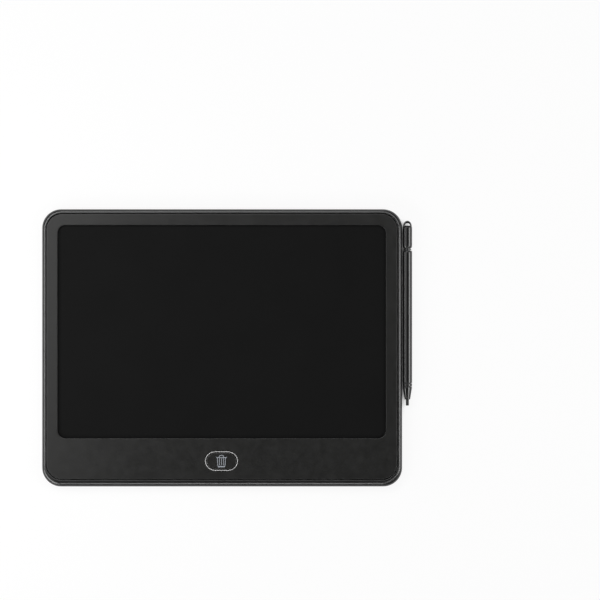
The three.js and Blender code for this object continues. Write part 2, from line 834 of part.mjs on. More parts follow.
// The two battery contacts are bent from thin strip and stand on the circuit board
function positiveContact() {
  const angle = radians(positiveContactAngle);
  const distance = coinRadius + contactGap + contactThickness / 2;
  const touch = new THREE.Vector2(coinX + distance * Math.cos(angle), coinY + distance * Math.sin(angle));
  const along = new THREE.Vector2(-Math.sin(angle), Math.cos(angle));
  const stripY = coinY + caseBossRadius + contactToBoss;
  const bend = touch.clone().addScaledVector(along, (stripY - touch.y) / along.y);
  const tip = touch.clone().addScaledVector(along, positiveContactReach);
  const footRight = pcbArea.left + contactFootInset + contactFootLength;
  const strip = ribbonShape([new THREE.Vector2(footRight, stripY), bend, tip], contactThickness);
  const low = coinBottom + positiveContactLow;
  const high = coinTop - positiveContactHigh;
  const beside = cut(
    slab(strip, low, high),
    block(area(pcbArea.left - pcbToWall, footRight + overrun, stripY - overrun, stripY + overrun), 0, pcbTop),
  );
  const foot = area(
    pcbArea.left + contactFootInset,
    footRight,
    stripY - contactFootWidth / 2,
    stripY + contactFootWidth / 2,
  );
  return joined(beside, block(foot, pcbTop, pcbTop + contactThickness));
}

function negativeContact() {
  const middle = coinY - caseBossRadius - contactToBoss - negativeContactWidth / 2;
  const half = contactThickness / 2;
  const footLeft = pcbArea.left + contactFootInset;
  const armHeight = coinTop + negativeContactRise + half;
  const dipX = coinX + negativeContactPast;
  const profile = ribbonShape([
    new THREE.Vector2(footLeft + contactFootLength, pcbTop + half),
    new THREE.Vector2(footLeft + negativeContactLean, pcbTop + half),
    new THREE.Vector2(footLeft, armHeight),
    new THREE.Vector2(dipX + negativeContactBend, armHeight),
    new THREE.Vector2(dipX, coinTop + contactGap + half),
    new THREE.Vector2(dipX - negativeContactTip, armHeight),
  ], contactThickness);
  return slab(profile, 0, negativeContactWidth)
    .rotateX(Math.PI / 2)
    .translate(0, middle + negativeContactWidth / 2, 0);
}

function circuitBoard() {
  const bore = pcbScrewShankRadius + pcbScrewClearance;
  const bores = pcbScrewPlaces.map(([x, y]) => post(x, y, bore, 0, caseThickness));
  return cut(slab(roundedShape(pcbArea, pcbCornerRadius), pcbBottom, pcbTop), ...bores);
}

function circuitBoardScrew() {
  const head = pcbTop + pcbScrewHeadHeight;
  return turnedUpright([
    [0, pcbScrewFloor + pcbScrewEndGap],
    [pcbScrewShankRadius, pcbScrewFloor + pcbScrewEndGap],
    [pcbScrewShankRadius, pcbTop],
    [pcbScrewHeadRadius, pcbTop],
    [pcbScrewHeadRadius, head - pcbScrewHeadHeight / 2],
    [pcbScrewHeadRadius / 2, head],
    [0, head],
  ], smallRoundSteps);
}

// Pieces on the circuit board are drawn round the middle of the erase button
function tactSwitch() {
  const edges = areaAround(0, 0, tactSize, tactSize);
  const bore = plungerRadius + plungerClearance;
  const boreFloor = tactTop - plungerEngagement - buttonTravel - plungerEndGap;
  return cut(
    slab(roundedShape(edges, tactEdge), pcbTop, tactTop, 1),
    post(0, 0, bore, boreFloor, tactTop + overrun),
  );
}

function driverChip() {
  const body = softSlab(
    roundedShape(areaAround(chipX, chipY, chipLength, chipWidth), chipEdge),
    pcbTop,
    pcbTop + chipHeight,
    chipEdge,
    1,
    1,
  );
  const leads = [];
  for (let i = 0; i < chipLeadCount; i += 1) {
    const x = chipX + (i - (chipLeadCount - 1) / 2) * chipLeadPitch;
    const edges = areaAround(x, chipY, chipLeadWidth, chipWidth + 2 * chipLeadReach);
    leads.push(block(edges, pcbTop, pcbTop + chipLeadHeight));
  }
  return joined(body, ...leads);
}

function boostCoil() {
  const top = pcbTop + coilHeight;
  return turnedUpright([
    [0, pcbTop],
    [coilRadius, pcbTop],
    [coilRadius, pcbTop + coilFlange],
    [coilRadius - coilWaist, pcbTop + coilFlange],
    [coilRadius - coilWaist, top - coilFlange],
    [coilRadius, top - coilFlange],
    [coilRadius, top],
    [0, top],
  ]).translate(coilX, coilY, 0);
}

function flexCable() {
  const half = flexThickness / 2;
  const start = filmArea.bottom + flexOnFilm;
  const landing = pcbArea.top - flexBoardInset;
  const profile = ribbonShape([
    new THREE.Vector2(start, filmBottom - half),
    new THREE.Vector2(landing + flexFall, filmBottom - half),
    new THREE.Vector2(landing, pcbTop + half),
    new THREE.Vector2(landing - flexOnBoard, pcbTop + half),
  ], flexThickness);
  return slab(profile, 0, flexWidth)
    .rotateX(Math.PI / 2)
    .rotateZ(Math.PI / 2)
    .translate(buttonX + flexX - flexWidth / 2, 0, 0);
}

function lockSwitchBody() {
  const right = pcbArea.right - lockBodyInset;
  const edges = area(right - lockBodyWidth, right, lockY - lockBodyLength / 2, lockY + lockBodyLength / 2);
  const slotHalf = (lockActuatorWidth + lockTravel) / 2 + lockActuatorGap;
  const inner = right - lockActuatorInside - lockActuatorGap;
  return cut(
    block(edges, pcbTop, pcbTop + lockBodyHeight),
    block(
      area(inner, right + overrun, lockY - slotHalf, lockY + slotHalf),
      lockActuatorBottom - lockActuatorGap,
      lockActuatorTop + lockActuatorGap,
    ),
  );
}

function lockSwitchActuator() {
  const right = pcbArea.right - lockBodyInset;
  const half = lockActuatorWidth / 2;
  const edges = area(right - lockActuatorInside, right + lockActuatorReach, sliderY - half, sliderY + half);
  return block(edges, lockActuatorBottom, lockActuatorTop);
}

function lockSlider() {
  const knobArea = areaAround(sliderX, sliderY, knobWidth, knobLength);
  const knobShape = roundedShape(knobArea, 2 * knobEdge);
  const knob = softSlab(knobShape, knobSink, sliderFlangeTop, knobEdge, edgeSteps, 1);
  const flange = block(
    areaAround(sliderX, sliderY, sliderFlangeWidth, sliderFlangeLength),
    sliderFlangeBottom,
    sliderFlangeTop,
  );
  const flangeLeft = sliderX - sliderFlangeWidth / 2;
  const postHalf = sliderPostLength / 2;
  const post = area(flangeLeft, flangeLeft + sliderPostWidth, sliderY - postHalf, sliderY + postHalf);
  const notchHalf = lockActuatorWidth / 2 + lockActuatorGap;
  const notch = area(flangeLeft - overrun, flangeLeft + overrun, sliderY - notchHalf, sliderY + notchHalf);
  const postTop = lockActuatorTop + sliderPostAbove;
  const grooves = [];
  for (let i = 0; i < knobGrooveCount; i += 1) {
    const y = sliderY + (i - (knobGrooveCount - 1) / 2) * knobGroovePitch;
    const groove = areaAround(sliderX, y, 2 * knobWidth, knobGrooveWidth);
    grooves.push(block(groove, -overrun, knobSink + knobGrooveDepth));
  }
  return cut(
    joined(flange, knob, block(post, sliderFlangeBottom, postTop)),
    block(notch, lockActuatorBottom - lockActuatorGap, postTop + overrun),
    ...grooves,
  );
}

function stylusCap() {
  const body = turned([
    [0, capBottom - plugLength],
    [plugRadius, capBottom - plugLength],
    [plugRadius, capBottom],
    [capNeckRadius, capBottom],
    [(capNeckRadius + stylusRadius) / 2, capBottom + capNeckRound / 4],
    [stylusRadius, capBottom + capNeckRound],
    [stylusRadius, capTop - capTopRound],
    [capTopRadius, capTop],
    [0, capTop],
  ]);
  const arch = new THREE.Shape();
  arch.moveTo(-loopWidth / 2, -loopSink);
  arch.lineTo(loopWidth / 2, -loopSink);
  arch.absellipse(0, 0, loopWidth / 2, loopHeight, 0, Math.PI);
  const hole = new THREE.Shape();
  hole.moveTo(-loopHoleWidth / 2, loopHoleLift);
  hole.lineTo(loopHoleWidth / 2, loopHoleLift);
  hole.absellipse(0, loopHoleLift, loopHoleWidth / 2, loopHoleHeight, 0, Math.PI);
  const half = loopThickness / 2;
  const loop = cut(
    softSlab(arch, -half, half, loopEdge, smallRoundSteps, 1).translate(0, capTop, 0),
    slab(hole, -half - overrun, half + overrun, smallRoundSteps).translate(0, capTop, 0),
  );
  return joined(body, loop);
}

function stylusBarrel() {
  return turned([
    [boreRadius, barrelBottom],
    [barrelEndRadius, barrelBottom],
    [stylusRadius, barrelBottom + barrelEndRound],
    [stylusRadius, barrelTop - barrelTopRound],
    [(barrelTopRadius + stylusRadius) / 2, barrelTop - barrelTopRound / 4],
    [barrelTopRadius, barrelTop],
    [boreRadius, barrelTop],
    [boreRadius, barrelBottom],
  ]);
}

// A ring round the plug of the cap or the tip
function stylusRing(low, high, radius, edge) {
  const inner = plugRadius + ringPlay;
  return turned([
    [inner, low],
    [radius - edge, low],
    [radius, low + edge],
    [radius, high - edge],
    [radius - edge, high],
    [inner, high],
    [inner, low],
  ]);
}

function stylusTipCone() {
  const boreFloor = coneBottom + nibInside + nibClearance;
  const nibBore = nibRadius + nibClearance;
  return turned([
    [0, boreFloor],
    [nibBore, boreFloor],
    [nibBore, coneBottom],
    [coneEndRadius - coneEndRound, coneBottom],
    [coneEndRadius, coneBottom + coneEndRound],
    [coneShoulderRadius, coneTop - coneShoulder],
    [coneTopRadius, coneTop],
    [plugRadius, coneTop],
    [plugRadius, barrelBottom + plugLength],
    [0, barrelBottom + plugLength],
  ]);
}

function stylusNib() {
  return turned([
    [0, nibBottom],
    [nibRadius - nibRound, nibBottom],
    [nibRadius, nibBottom + nibRound],
    [nibRadius, coneBottom + nibInside],
    [0, coneBottom + nibInside],
  ], smallRoundSteps);
}

function stylusCore() {
  const radius = boreRadius - coreClearance;
  const low = barrelBottom + plugLength + coreEndGap;
  const high = capBottom - plugLength - coreEndGap;
  return turned([[0, low], [radius, low], [radius, high], [0, high]], smallRoundSteps);
}

// The case with all that is fixed in it
const tablet = new THREE.Group();
place(tablet, 'back_cover', 'caseBlack', backCover());
place(tablet, 'front_bezel', 'panelBlack', frontBezel());
const filmShape = roundedShape(filmArea, filmCornerRadius);
place(tablet, 'writing_film', 'screenBlack', slab(filmShape, filmBottom, filmTop));
place(tablet, 'film_adhesive', 'tapeBlack', cut(
  slab(filmShape, filmTop, panelBottom),
  slab(roundedShape(inset(filmArea, tapeWidth), filmCornerRadius), filmTop - overrun, panelBottom + overrun),
));

const boardArea = inset(windowArea, -boardOverlap);
boardArea.bottom = coinY + bayOuterRadius + boardClearance;
const boardShape = roundedShape(boardArea, boardCornerRadius);
place(tablet, 'support_board', 'boardBlack', slab(boardShape, boardBottom, filmBottom));
const foamShape = roundedShape(inset(boardArea, foamInset), foamCornerRadius);
place(tablet, 'foam_pad', 'foamGrey', slab(foamShape, floorThickness, boardBottom));

magnetPlaces().forEach((y, i) => {
  const edges = area(magnetRight - magnetThickness, magnetRight, y - magnetLength / 2, y + magnetLength / 2);
  const name = ['stylus_magnet_upper', 'stylus_magnet_lower'][i];
  place(tablet, name, 'magnet', block(edges, floorThickness, floorThickness + magnetHeight));
});

// Battery bay
place(tablet, 'battery_door', 'caseBlack', batteryDoor());
place(tablet, 'battery_door_screw', 'steel', batteryDoorScrew());
place(tablet, 'battery_contact_positive', 'brightSteel', positiveContact());
place(tablet, 'battery_contact_negative', 'brightSteel', negativeContact());
const battery = new THREE.Group();
battery.position.set(coinX, coinY, 0);
tablet.add(battery);
place(battery, 'coin_cell', 'brightSteel', coinCell());

// Circuit board and its parts
place(tablet, 'circuit_board', 'boardGreen', circuitBoard());
pcbScrewPlaces.forEach(([x, y], i) => {
  const screwPlace = new THREE.Group();
  screwPlace.position.set(x, y, 0);
  tablet.add(screwPlace);
  place(screwPlace, `circuit_board_screw_${i + 1}`, 'steel', circuitBoardScrew());
});
place(tablet, 'flex_cable', 'flexAmber', flexCable());
place(tablet, 'lock_switch_body', 'steel', lockSwitchBody());
place(tablet, 'lock_switch_actuator', 'chipBlack', lockSwitchActuator());
place(tablet, 'lock_slider', 'caseBlack', lockSlider());

const keyGroup = new THREE.Group();
keyGroup.position.set(buttonX, buttonY, 0);
tablet.add(keyGroup);
place(keyGroup, 'button_trim_ring', 'silver', buttonTrimRing());
place(keyGroup, 'erase_button', 'panelBlack', eraseButton());
place(keyGroup, 'tact_switch', 'steel', tactSwitch());
const plunger = post(0, 0, plungerRadius, tactTop - plungerEngagement, plungerTop);
place(keyGroup, 'tact_plunger', 'switchWhite', plunger);
place(keyGroup, 'driver_chip', 'chipBlack', driverChip());
place(keyGroup, 'boost_coil', 'ferrite', boostCoil());
for (let i = 0; i < capacitorPlaces; i += 1) {
  const x = (i - (capacitorPlaces - 1) / 2) * capacitorPitch;
  const edges = areaAround(x, -capacitorDrop, capacitorLength, capacitorWidth);
  place(keyGroup, `capacitor_${i + 1}`, 'ceramic', block(edges, pcbTop, pcbTop + capacitorHeight));
}

// Stylus, drawn round its own axis
const stylus = new THREE.Group();
stylus.position.set(stylusX, 0, stylusZ);
tablet.add(stylus);
place(stylus, 'stylus_cap', 'stylusBlack', stylusCap());
const neckRing = stylusRing(neckRingBottom, neckRingTop, neckRingRadius, neckRingEdge);
place(stylus, 'stylus_neck_ring', 'stylusBlack', neckRing);
place(stylus, 'stylus_barrel', 'stylusBlack', stylusBarrel());
place(stylus, 'stylus_core', 'steel', stylusCore());
const tipRing = stylusRing(tipRingBottom, tipRingTop, tipRingRadius, tipRingEdge);
place(stylus, 'stylus_tip_ring', 'stylusBlack', tipRing);
place(stylus, 'stylus_tip_cone', 'stylusBlack', stylusTipCone());
place(stylus, 'stylus_nib', 'stylusBlack', stylusNib());

export default tablet;
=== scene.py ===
# LCD writing tablet with its stylus: fine surfaces, materials, light and camera.
# Lengths are in millimetres until they become vertices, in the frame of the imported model.

import json
import math
import bpy
import bmesh
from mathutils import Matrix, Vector


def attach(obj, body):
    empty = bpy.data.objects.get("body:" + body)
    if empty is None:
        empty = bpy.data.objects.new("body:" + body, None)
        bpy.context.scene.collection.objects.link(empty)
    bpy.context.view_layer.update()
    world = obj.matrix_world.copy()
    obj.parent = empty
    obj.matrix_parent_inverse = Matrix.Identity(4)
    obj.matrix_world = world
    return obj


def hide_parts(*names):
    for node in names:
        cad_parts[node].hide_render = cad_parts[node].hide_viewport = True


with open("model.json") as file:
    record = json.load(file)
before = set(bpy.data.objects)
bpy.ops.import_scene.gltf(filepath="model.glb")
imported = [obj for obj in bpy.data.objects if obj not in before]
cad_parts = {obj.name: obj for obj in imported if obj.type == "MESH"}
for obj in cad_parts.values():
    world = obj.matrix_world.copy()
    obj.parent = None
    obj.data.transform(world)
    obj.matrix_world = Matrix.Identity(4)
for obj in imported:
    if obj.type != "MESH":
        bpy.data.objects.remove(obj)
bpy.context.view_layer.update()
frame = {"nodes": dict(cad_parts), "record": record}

MM = 0.001
CORNER_STEPS = 14
OVAL_STEPS = 40
ROUND_STEPS = 48
FINE_STEPS = 96
OVERRUN = 2
MERGE_DISTANCE = 1e-7
LEAST_RADIUS = 0.02
LONGEST_ROUNDING = 0.49

# Case and panel, as left, right, bottom and top
CASE = (-98.95, 98.95, -76.2, 76.2)
RECESS = (-96.93, 96.65, -72.7, 74.13)
CAVITY = (-96.0, 95.57, -71.8, 73.05)
PANEL = (-96.55, 96.27, -72.32, 73.75)
WINDOW = (-90.55, 90.1, -49.75, 67.5)
CASE_CORNER = 10.4
CASE_EDGE = 2.0
RIM_FALL = 2.4
RIM_LIP = 0.25
RECESS_CORNER = 9.2
CAVITY_CORNER = 7.1
PANEL_CORNER = 8.85
PANEL_EDGE = 0.3
WINDOW_CORNER = 4.6
WINDOW_EDGE = 0.22
FLOOR_TOP = 1.4
PANEL_BOTTOM = 5.1
CASE_TOP = 6.5

# Snap tabs of the panel, placed by shares of its width and height
SNAP_SHARES = {"side": (0.38, 0.08, -0.32), "top": (-0.32, 0, 0.32), "chin": (-0.4, 0.24, 0.4)}
SNAP_WIDTH = 8
SNAP_THICKNESS = 1.0
SNAP_HOOK = 0.7
SNAP_GAP = 0.35

# Middles
BUTTON = (-0.35, -62.2)
COIN = (-39.95, -61.0)
SCREW = (-25.55, -61.0)
SLIDER = (24.05, -63.2)
LOCK_Y = -62.2
STYLUS = (101.9, 3.25)

# Pen scoop in the right side
SCOOP_RADIUS = 3.31
SCOOP_ENDS = (-20.7, 62.0)
SCOOP_RUNOUT = 8
SCOOP_STEPS = 8

# Erase button, its trim ring and its seat: an oval that shrinks inwards
RING_WIDTH = 18.3
RING_HEIGHT = 10.9
RING_END = 5.8
RING_STROKE = 0.75
RING_BOTTOM = 5.7
RING_TOP = 6.6
BUTTON_TOP = 6.65
PRINT_BOTTOM = 6.6
PRINT_TOP = 6.68

# Battery bay and its door
DOOR = (-53.15, -21.95, -71.95, -50.05)
DOOR_CORNER = 1.5
DOOR_GAP = 0.2
BAY_RADIUS = 10.35
BAY_WALL = 1.0
BAY_WALL_TOP = 3.9
BAY_WALL_SPAN = 80
BAY_WALL_STEPS = 20
TONGUE_YS = (COIN[1] - 7.5, COIN[1] + 7.5)

# Lock slider
LOCK_SLOT = (4.3, 8.0)
LOCK_FLANGE = (5.7, 11.4)
LOCK_CORNER = 0.6

# Profiles of the stylus: radius, place along its length, and the rounding of that corner
CAP_END = 66.8
CAP_PROFILE = [
    (1.35, 48.8, 0), (1.35, 54.8, 0), (1.85, 54.8, 0.12), (2.32, 55.15, 0.5), (2.56, 56.0, 0.8),
    (2.56, 66.25, 0.35), (2.2, CAP_END, 0.25), (1.4, CAP_END, 0),
]
BARREL_PROFILE = [
    (1.8, -19.5, 0), (2.3, -19.5, 0.05), (2.56, -19.2, 0.15), (2.56, 52.75, 0.5), (2.3, 53.35, 0.4),
    (2.05, 53.5, 0.05), (1.8, 53.5, 0), (1.55, 53.5, 0), (1.55, -19.5, 0),
]
NECK_PROFILE = [
    (1.8, 53.8, 0), (2.1, 53.8, 0.15), (2.1, 54.5, 0.15), (1.8, 54.5, 0), (1.5, 54.5, 0), (1.5, 53.8, 0),
]
TIP_RING_PROFILE = [
    (1.9, -21.22, 0), (2.52, -21.22, 0.3), (2.52, -19.62, 0.3), (1.9, -19.62, 0), (1.5, -19.62, 0),
    (1.5, -21.22, 0),
]
TIP_CONE_PROFILE = [
    (0.5, -25.21, 0), (0.95, -25.21, 0), (0.95, -28.34, 0), (1.48, -28.34, 0.22), (2.54, -21.74, 0.4),
    (2.3, -21.34, 0.1), (1.35, -21.34, 0), (1.35, -13.5, 0), (0.6, -13.5, 0),
]
NIB_PROFILE = [(0.2, -31.74, 0), (0.82, -31.74, 0.4), (0.82, -25.34, 0), (0.4, -25.34, 0)]

# Profiles of the other round pieces: radius, height, and the rounding of that corner
CELL_PROFILE = [
    (9.0, 1.6, 0), (10.0, 1.6, 0.4), (10.0, 3.75, 0.35), (9.0, 3.75, 0.1), (8.75, 3.55, 0.1),
    (8.4, 3.75, 0.05), (8.4, 4.1, 0.3), (7.0, 4.1, 0),
]
SCREW_PROFILE = [
    (0.3, 0.1, 0), (1.45, 0.1, 0.3), (1.8, 0.45, 0.12), (1.8, 0.7, 0.03), (1.0, 0.7, 0),
    (1.0, 3.2, 0), (0.5, 3.7, 0),
]
SCREW_MOUTH_PROFILE = [(2.4, -1, 0), (2.4, 0, 0), (2.1, 0.12, 0.1), (2.1, 0.75, 0)]

# Profiles of the pieces with a straight outline: how far in, height, and the rounding of that corner
DOOR_PROFILE = [(1.4, 0, 0), (0, 0, 0.18), (0, 0.8, 0.05), (1.4, 0.8, 0)]
KNOB_PROFILE = [(1.2, 0.1, 0), (0, 0.1, 0.25), (0, 2.0, 0)]
DISH_PROFILE = [(0.25, -OVERRUN, 0), (0, 0, 0.2), (0.35, 0.45, 0.3), (2, 0.45, 0)]
SEAT_PROFILE = [(-0.2, 7.5, 0), (-0.2, 6.5, 0.1), (-0.08, 6.4, 0.1), (-0.08, RING_BOTTOM, 0)]
KEY_PROFILE = [
    (1.8, 4.4, 0), (0, 4.4, 0.1), (0, 5.0, 0.1), (1.0, 5.0, 0), (1.0, BUTTON_TOP, 0.3), (1.9, BUTTON_TOP, 0),
]

# Bin symbol, measured from the middle of the button
BIN_STROKE = 0.34
BIN_HANDLE = [(-1.2, 1.9), (-1.18, 2.5), (-1.08, 2.85), (-0.75, 3.06), (0, 3.1)]
BIN_LID = [(-3.0, 2.5), (-2.45, 2.08), (2.45, 2.08), (3.0, 2.5), (2.75, 1.7), (-2.75, 1.7)]
BIN_SIDE = [(2.2, 1.75), (2.06, -2.0), (1.93, -2.6), (1.65, -3.1)]
BIN_BASE = [(-2.05, -2.72), (2.05, -2.72), (1.95, -3.05), (1.7, -3.4), (-1.7, -3.4), (-1.95, -3.05)]
BIN_RIBS = (-1.1, 0, 1.1)


def inset(area, amount):
    """A rectangle made smaller all round, or larger by a negative amount."""
    left, right, bottom, top = area
    return (left + amount, right - amount, bottom + amount, top - amount)


def around(x, y, width, height):
    """A rectangle of that size round a point."""
    return (x - width / 2, x + width / 2, y - height / 2, y + height / 2)


def turn(angle):
    """The cosine and sine of an angle in degrees."""
    return math.cos(math.radians(angle)), math.sin(math.radians(angle))


def rounded(area, radius, steps=CORNER_STEPS):
    """The outline of a rectangle with round corners, anticlockwise."""
    left, right, bottom, top = area
    radius = max(radius, LEAST_RADIUS)
    corners = [
        (right - radius, bottom + radius, -90),
        (right - radius, top - radius, 0),
        (left + radius, top - radius, 90),
        (left + radius, bottom + radius, 180),
    ]
    points = []
    for x, y, start in corners:
        for i in range(steps + 1):
            c, s = turn(start + 90 * i / steps)
            points.append((x + radius * c, y + radius * s))
    return points


def oval(shrink, steps=OVAL_STEPS):
    """The outline of the erase button's ring, made smaller by shrink."""
    half = RING_HEIGHT / 2 - shrink
    end = RING_END - shrink
    straight = RING_WIDTH / 2 - RING_END
    points = []
    for side, start in ((1, -90), (-1, 90)):
        for i in range(steps + 1):
            c, s = turn(start + 180 * i / steps)
            points.append((BUTTON[0] + side * straight + end * c, BUTTON[1] + half * s))
    return points


def circle(x, y, radius, steps=ROUND_STEPS):
    points = []
    for i in range(steps):
        c, s = turn(360 * i / steps)
        points.append((x + radius * c, y + radius * s))
    return points


def softened(path, steps=5):
    """A path of [across, along, radius] points, each corner rounded by its radius."""
    soft = []
    for i, (a, b, radius) in enumerate(path):
        here = Vector((a, b))
        if radius <= 0 or i in (0, len(path) - 1):
            soft.append((a, b))
            continue
        back = Vector(path[i - 1][:2]) - here
        ahead = Vector(path[i + 1][:2]) - here
        half = back.angle(ahead) / 2
        longest = LONGEST_ROUNDING * min(back.length, ahead.length)
        reach = min(radius / math.tan(half), longest)
        start = here + back.normalized() * reach
        end = here + ahead.normalized() * reach
        middle = (start + end) / 2
        axis = (middle - here).normalized()
        true_radius = reach * math.tan(half)
        centre = here + axis * math.hypot(reach, true_radius)
        first, last = start - centre, end - centre
        spread = first.angle(last)
        for k in range(steps + 1):
            share = k / steps
            low = math.sin((1 - share) * spread) / math.sin(spread)
            high = math.sin(share * spread) / math.sin(spread)
            point = centre + first * low + last * high
            soft.append((point.x, point.y))
    return soft


def mesh_object(name, vertices, faces):
    mesh = bpy.data.meshes.new(name)
    mesh.from_pydata([Vector(v) * MM for v in vertices], [], faces)
    body = bmesh.new()
    body.from_mesh(mesh)
    bmesh.ops.remove_doubles(body, verts=body.verts, dist=MERGE_DISTANCE)
    bmesh.ops.recalc_face_normals(body, faces=body.faces)
    body.to_mesh(mesh)
    body.free()
    piece = bpy.data.objects.new(name, mesh)
    bpy.context.scene.collection.objects.link(piece)
    return piece


def skin(name, rings, closed=False):
    """A surface through rings of points that all hold the same number of points."""
    count = len(rings[0])
    vertices = [p for ring in rings for p in ring]
    faces = []
    for k in range(len(rings) if closed else len(rings) - 1):
        low, high = k * count, (k + 1) % len(rings) * count
        for i in range(count):
            j = (i + 1) % count
            faces.append((low + i, low + j, high + j, high + i))
    if not closed:
        faces.append(tuple(reversed(range(count))))
        faces.append(tuple((len(rings) - 1) * count + i for i in range(count)))
    return mesh_object(name, vertices, faces)


def at(points, z):
    return [(x, y, z) for x, y in points]


def slab(name, points, low, high):
    return skin(name, [at(points, low), at(points, high)])


def slabs(name, outlines, low, high):
    """One mesh of separate slabs between two heights."""
    vertices, faces = [], []
    for points in outlines:
        base, count = len(vertices), len(points)
        vertices += at(points, low) + at(points, high)
        faces.append(tuple(base + i for i in reversed(range(count))))
        faces.append(tuple(base + count + i for i in range(count)))
        for i in range(count):
            j = (i + 1) % count
            faces.append((base + i, base + j, base + count + j, base + count + i))
    return mesh_object(name, vertices, faces)


def corners(area):
    left, right, bottom, top = area
    return [(left, bottom), (right, bottom), (right, top), (left, top)]


def lathe(name, path, closed=False, steps=ROUND_STEPS):
    """A path of radius and place along Y, turned round the axis of the stylus."""
    rings = []
    for radius, place in path:
        ring = circle(0, 0, radius, steps)
        rings.append([(STYLUS[0] + x, place, STYLUS[1] + z) for x, z in ring])
    return skin(name, rings, closed)


def upright(name, x, y, path, steps=ROUND_STEPS):
    """A path of radius and height, turned round an upright axis."""
    return skin(name, [at(circle(x, y, radius, steps), z) for radius, z in path])


def changed(target, tools, operation):
    """The target with each tool cut from it or joined to it; the tools are used up."""
    for tool in tools:
        step = target.modifiers.new("step", "BOOLEAN")
        step.operation = operation
        step.solver = "EXACT"
        step.object = tool
    bpy.context.view_layer.update()
    graph = bpy.context.evaluated_depsgraph_get()
    mesh = bpy.data.meshes.new_from_object(target.evaluated_get(graph))
    target.modifiers.clear()
    target.data = mesh
    mesh.name = target.name
    for tool in tools:
        bpy.data.objects.remove(tool)
    return target


def cut(target, *tools):
    return changed(target, tools, "DIFFERENCE")


def joined(target, *tools):
    return changed(target, tools, "UNION")


def ring_of(area, radius, amount, z):
    return at(rounded(inset(area, amount), radius - amount), z)


def rings_of(area, radius, path):
    return [ring_of(area, radius, amount, z) for amount, z in path]


def snap_tabs(outward, thickness, widening=0.0):
    """Outlines of the panel's snap tabs, moved outward from the case wall."""
    wall = inset(CAVITY, SNAP_GAP)
    width, height = PANEL[1] - PANEL[0], PANEL[3] - PANEL[2]
    middle_x, middle_y = (PANEL[0] + PANEL[1]) / 2, (PANEL[2] + PANEL[3]) / 2
    half = SNAP_WIDTH / 2 + widening
    tabs = []
    for share in SNAP_SHARES["side"]:
        y = middle_y + share * height
        tabs.append((wall[0] - outward, wall[0] - outward + thickness, y - half, y + half))
        tabs.append((wall[1] + outward - thickness, wall[1] + outward, y - half, y + half))
    for share in SNAP_SHARES["top"]:
        x = middle_x + share * width
        tabs.append((x - half, x + half, wall[3] + outward - thickness, wall[3] + outward))
    for share in SNAP_SHARES["chin"]:
        x = middle_x + share * width
        tabs.append((x - half, x + half, wall[2] - outward, wall[2] - outward + thickness))
    return [corners(tab) for tab in tabs]


def padlock(x, y, is_open):
    """Outlines of a small padlock: its body and its shackle."""
    width, height, corner, drop = 2.0, 1.5, 0.25, 0.5
    outside, inside, rise, lift = 0.75, 0.42, 0.75, 0.45
    foot, open_foot, steps = 0.25, 0.55, 12
    body = rounded(around(x, y - drop, width, height), corner, 4)
    middle = y + rise + (lift if is_open else 0.0)
    outer, inner = [], []
    for i in range(steps + 1):
        c, s = turn(180 * i / steps)
        outer.append((x + outside * c, middle + outside * s))
        inner.append((x + inside * c, middle + inside * s))
    left_foot = y + (open_foot if is_open else foot)
    right_foot = y + foot
    shackle = [(x + outside, right_foot), *outer, (x - outside, left_foot)]
    shackle += [(x - inside, left_foot), *reversed(inner), (x + inside, right_foot)]
    return [body, shackle]


def rim_rings(steps=12, lip_angles=(30, 60, 90)):
    """The crowned rim, from the straight side up to the soft edge of the recess."""
    rings = []
    crown = inset(RECESS, -RIM_LIP)
    for i in range(1, steps + 1):
        across, up = turn(90 * i / steps)
        share = 1 - across
        area = tuple(out + (inside - out) * share for out, inside in zip(CASE, crown))
        radius = CASE_CORNER + (RECESS_CORNER + RIM_LIP - CASE_CORNER) * share
        rings.append(at(rounded(area, radius), CASE_TOP - RIM_FALL * (1 - up)))
    for angle in lip_angles:
        c, s = turn(angle)
        height = CASE_TOP - RIM_LIP * (1 - c)
        rings.append(ring_of(RECESS, RECESS_CORNER, -RIM_LIP * (1 - s), height))
    return rings


def tray():
    """The case before anything is cut into it: foot, side, rim, recess, groove and cavity."""
    foot_inset, groove_depth, groove_width = 2.1 * CASE_EDGE, 0.7, 0.5
    side_top = CASE_TOP - RIM_FALL
    foot = softened([(foot_inset, 0, 0), (0, 0, CASE_EDGE), (0, side_top, 0)], 10)
    return skin("case_shell", [
        *rings_of(CASE, CASE_CORNER, foot),
        *rim_rings(),
        ring_of(RECESS, RECESS_CORNER, 0, PANEL_BOTTOM - groove_depth),
        ring_of(RECESS, RECESS_CORNER, groove_width, PANEL_BOTTOM),
        ring_of(CAVITY, CAVITY_CORNER, 0, PANEL_BOTTOM),
        ring_of(CAVITY, CAVITY_CORNER, 0, FLOOR_TOP),
    ])


def scoop():
    """What is cut from the side so that the stylus lies in it: a bar with rounded ends."""
    low, high = [], []
    for i in range(SCOOP_STEPS + 1):
        c, s = turn(90 * i / SCOOP_STEPS)
        radius = max(SCOOP_RADIUS * c, 0.01)
        low.append((radius, SCOOP_ENDS[0] - SCOOP_RUNOUT * s))
        high.append((radius, SCOOP_ENDS[1] + SCOOP_RUNOUT * s))
    return lathe("scoop", low[::-1] + high, steps=FINE_STEPS)


def bay_walls():
    """Outlines of the two curved walls that hold the coin cell."""
    walls = []
    for middle in (90, 270):
        start = middle - BAY_WALL_SPAN / 2
        arc = [turn(start + BAY_WALL_SPAN * i / BAY_WALL_STEPS) for i in range(BAY_WALL_STEPS + 1)]
        outside = BAY_RADIUS + BAY_WALL
        outer = [(COIN[0] + outside * c, COIN[1] + outside * s) for c, s in arc]
        inner = [(COIN[0] + BAY_RADIUS * c, COIN[1] + BAY_RADIUS * s) for c, s in reversed(arc)]
        walls.append(outer + inner)
    return walls


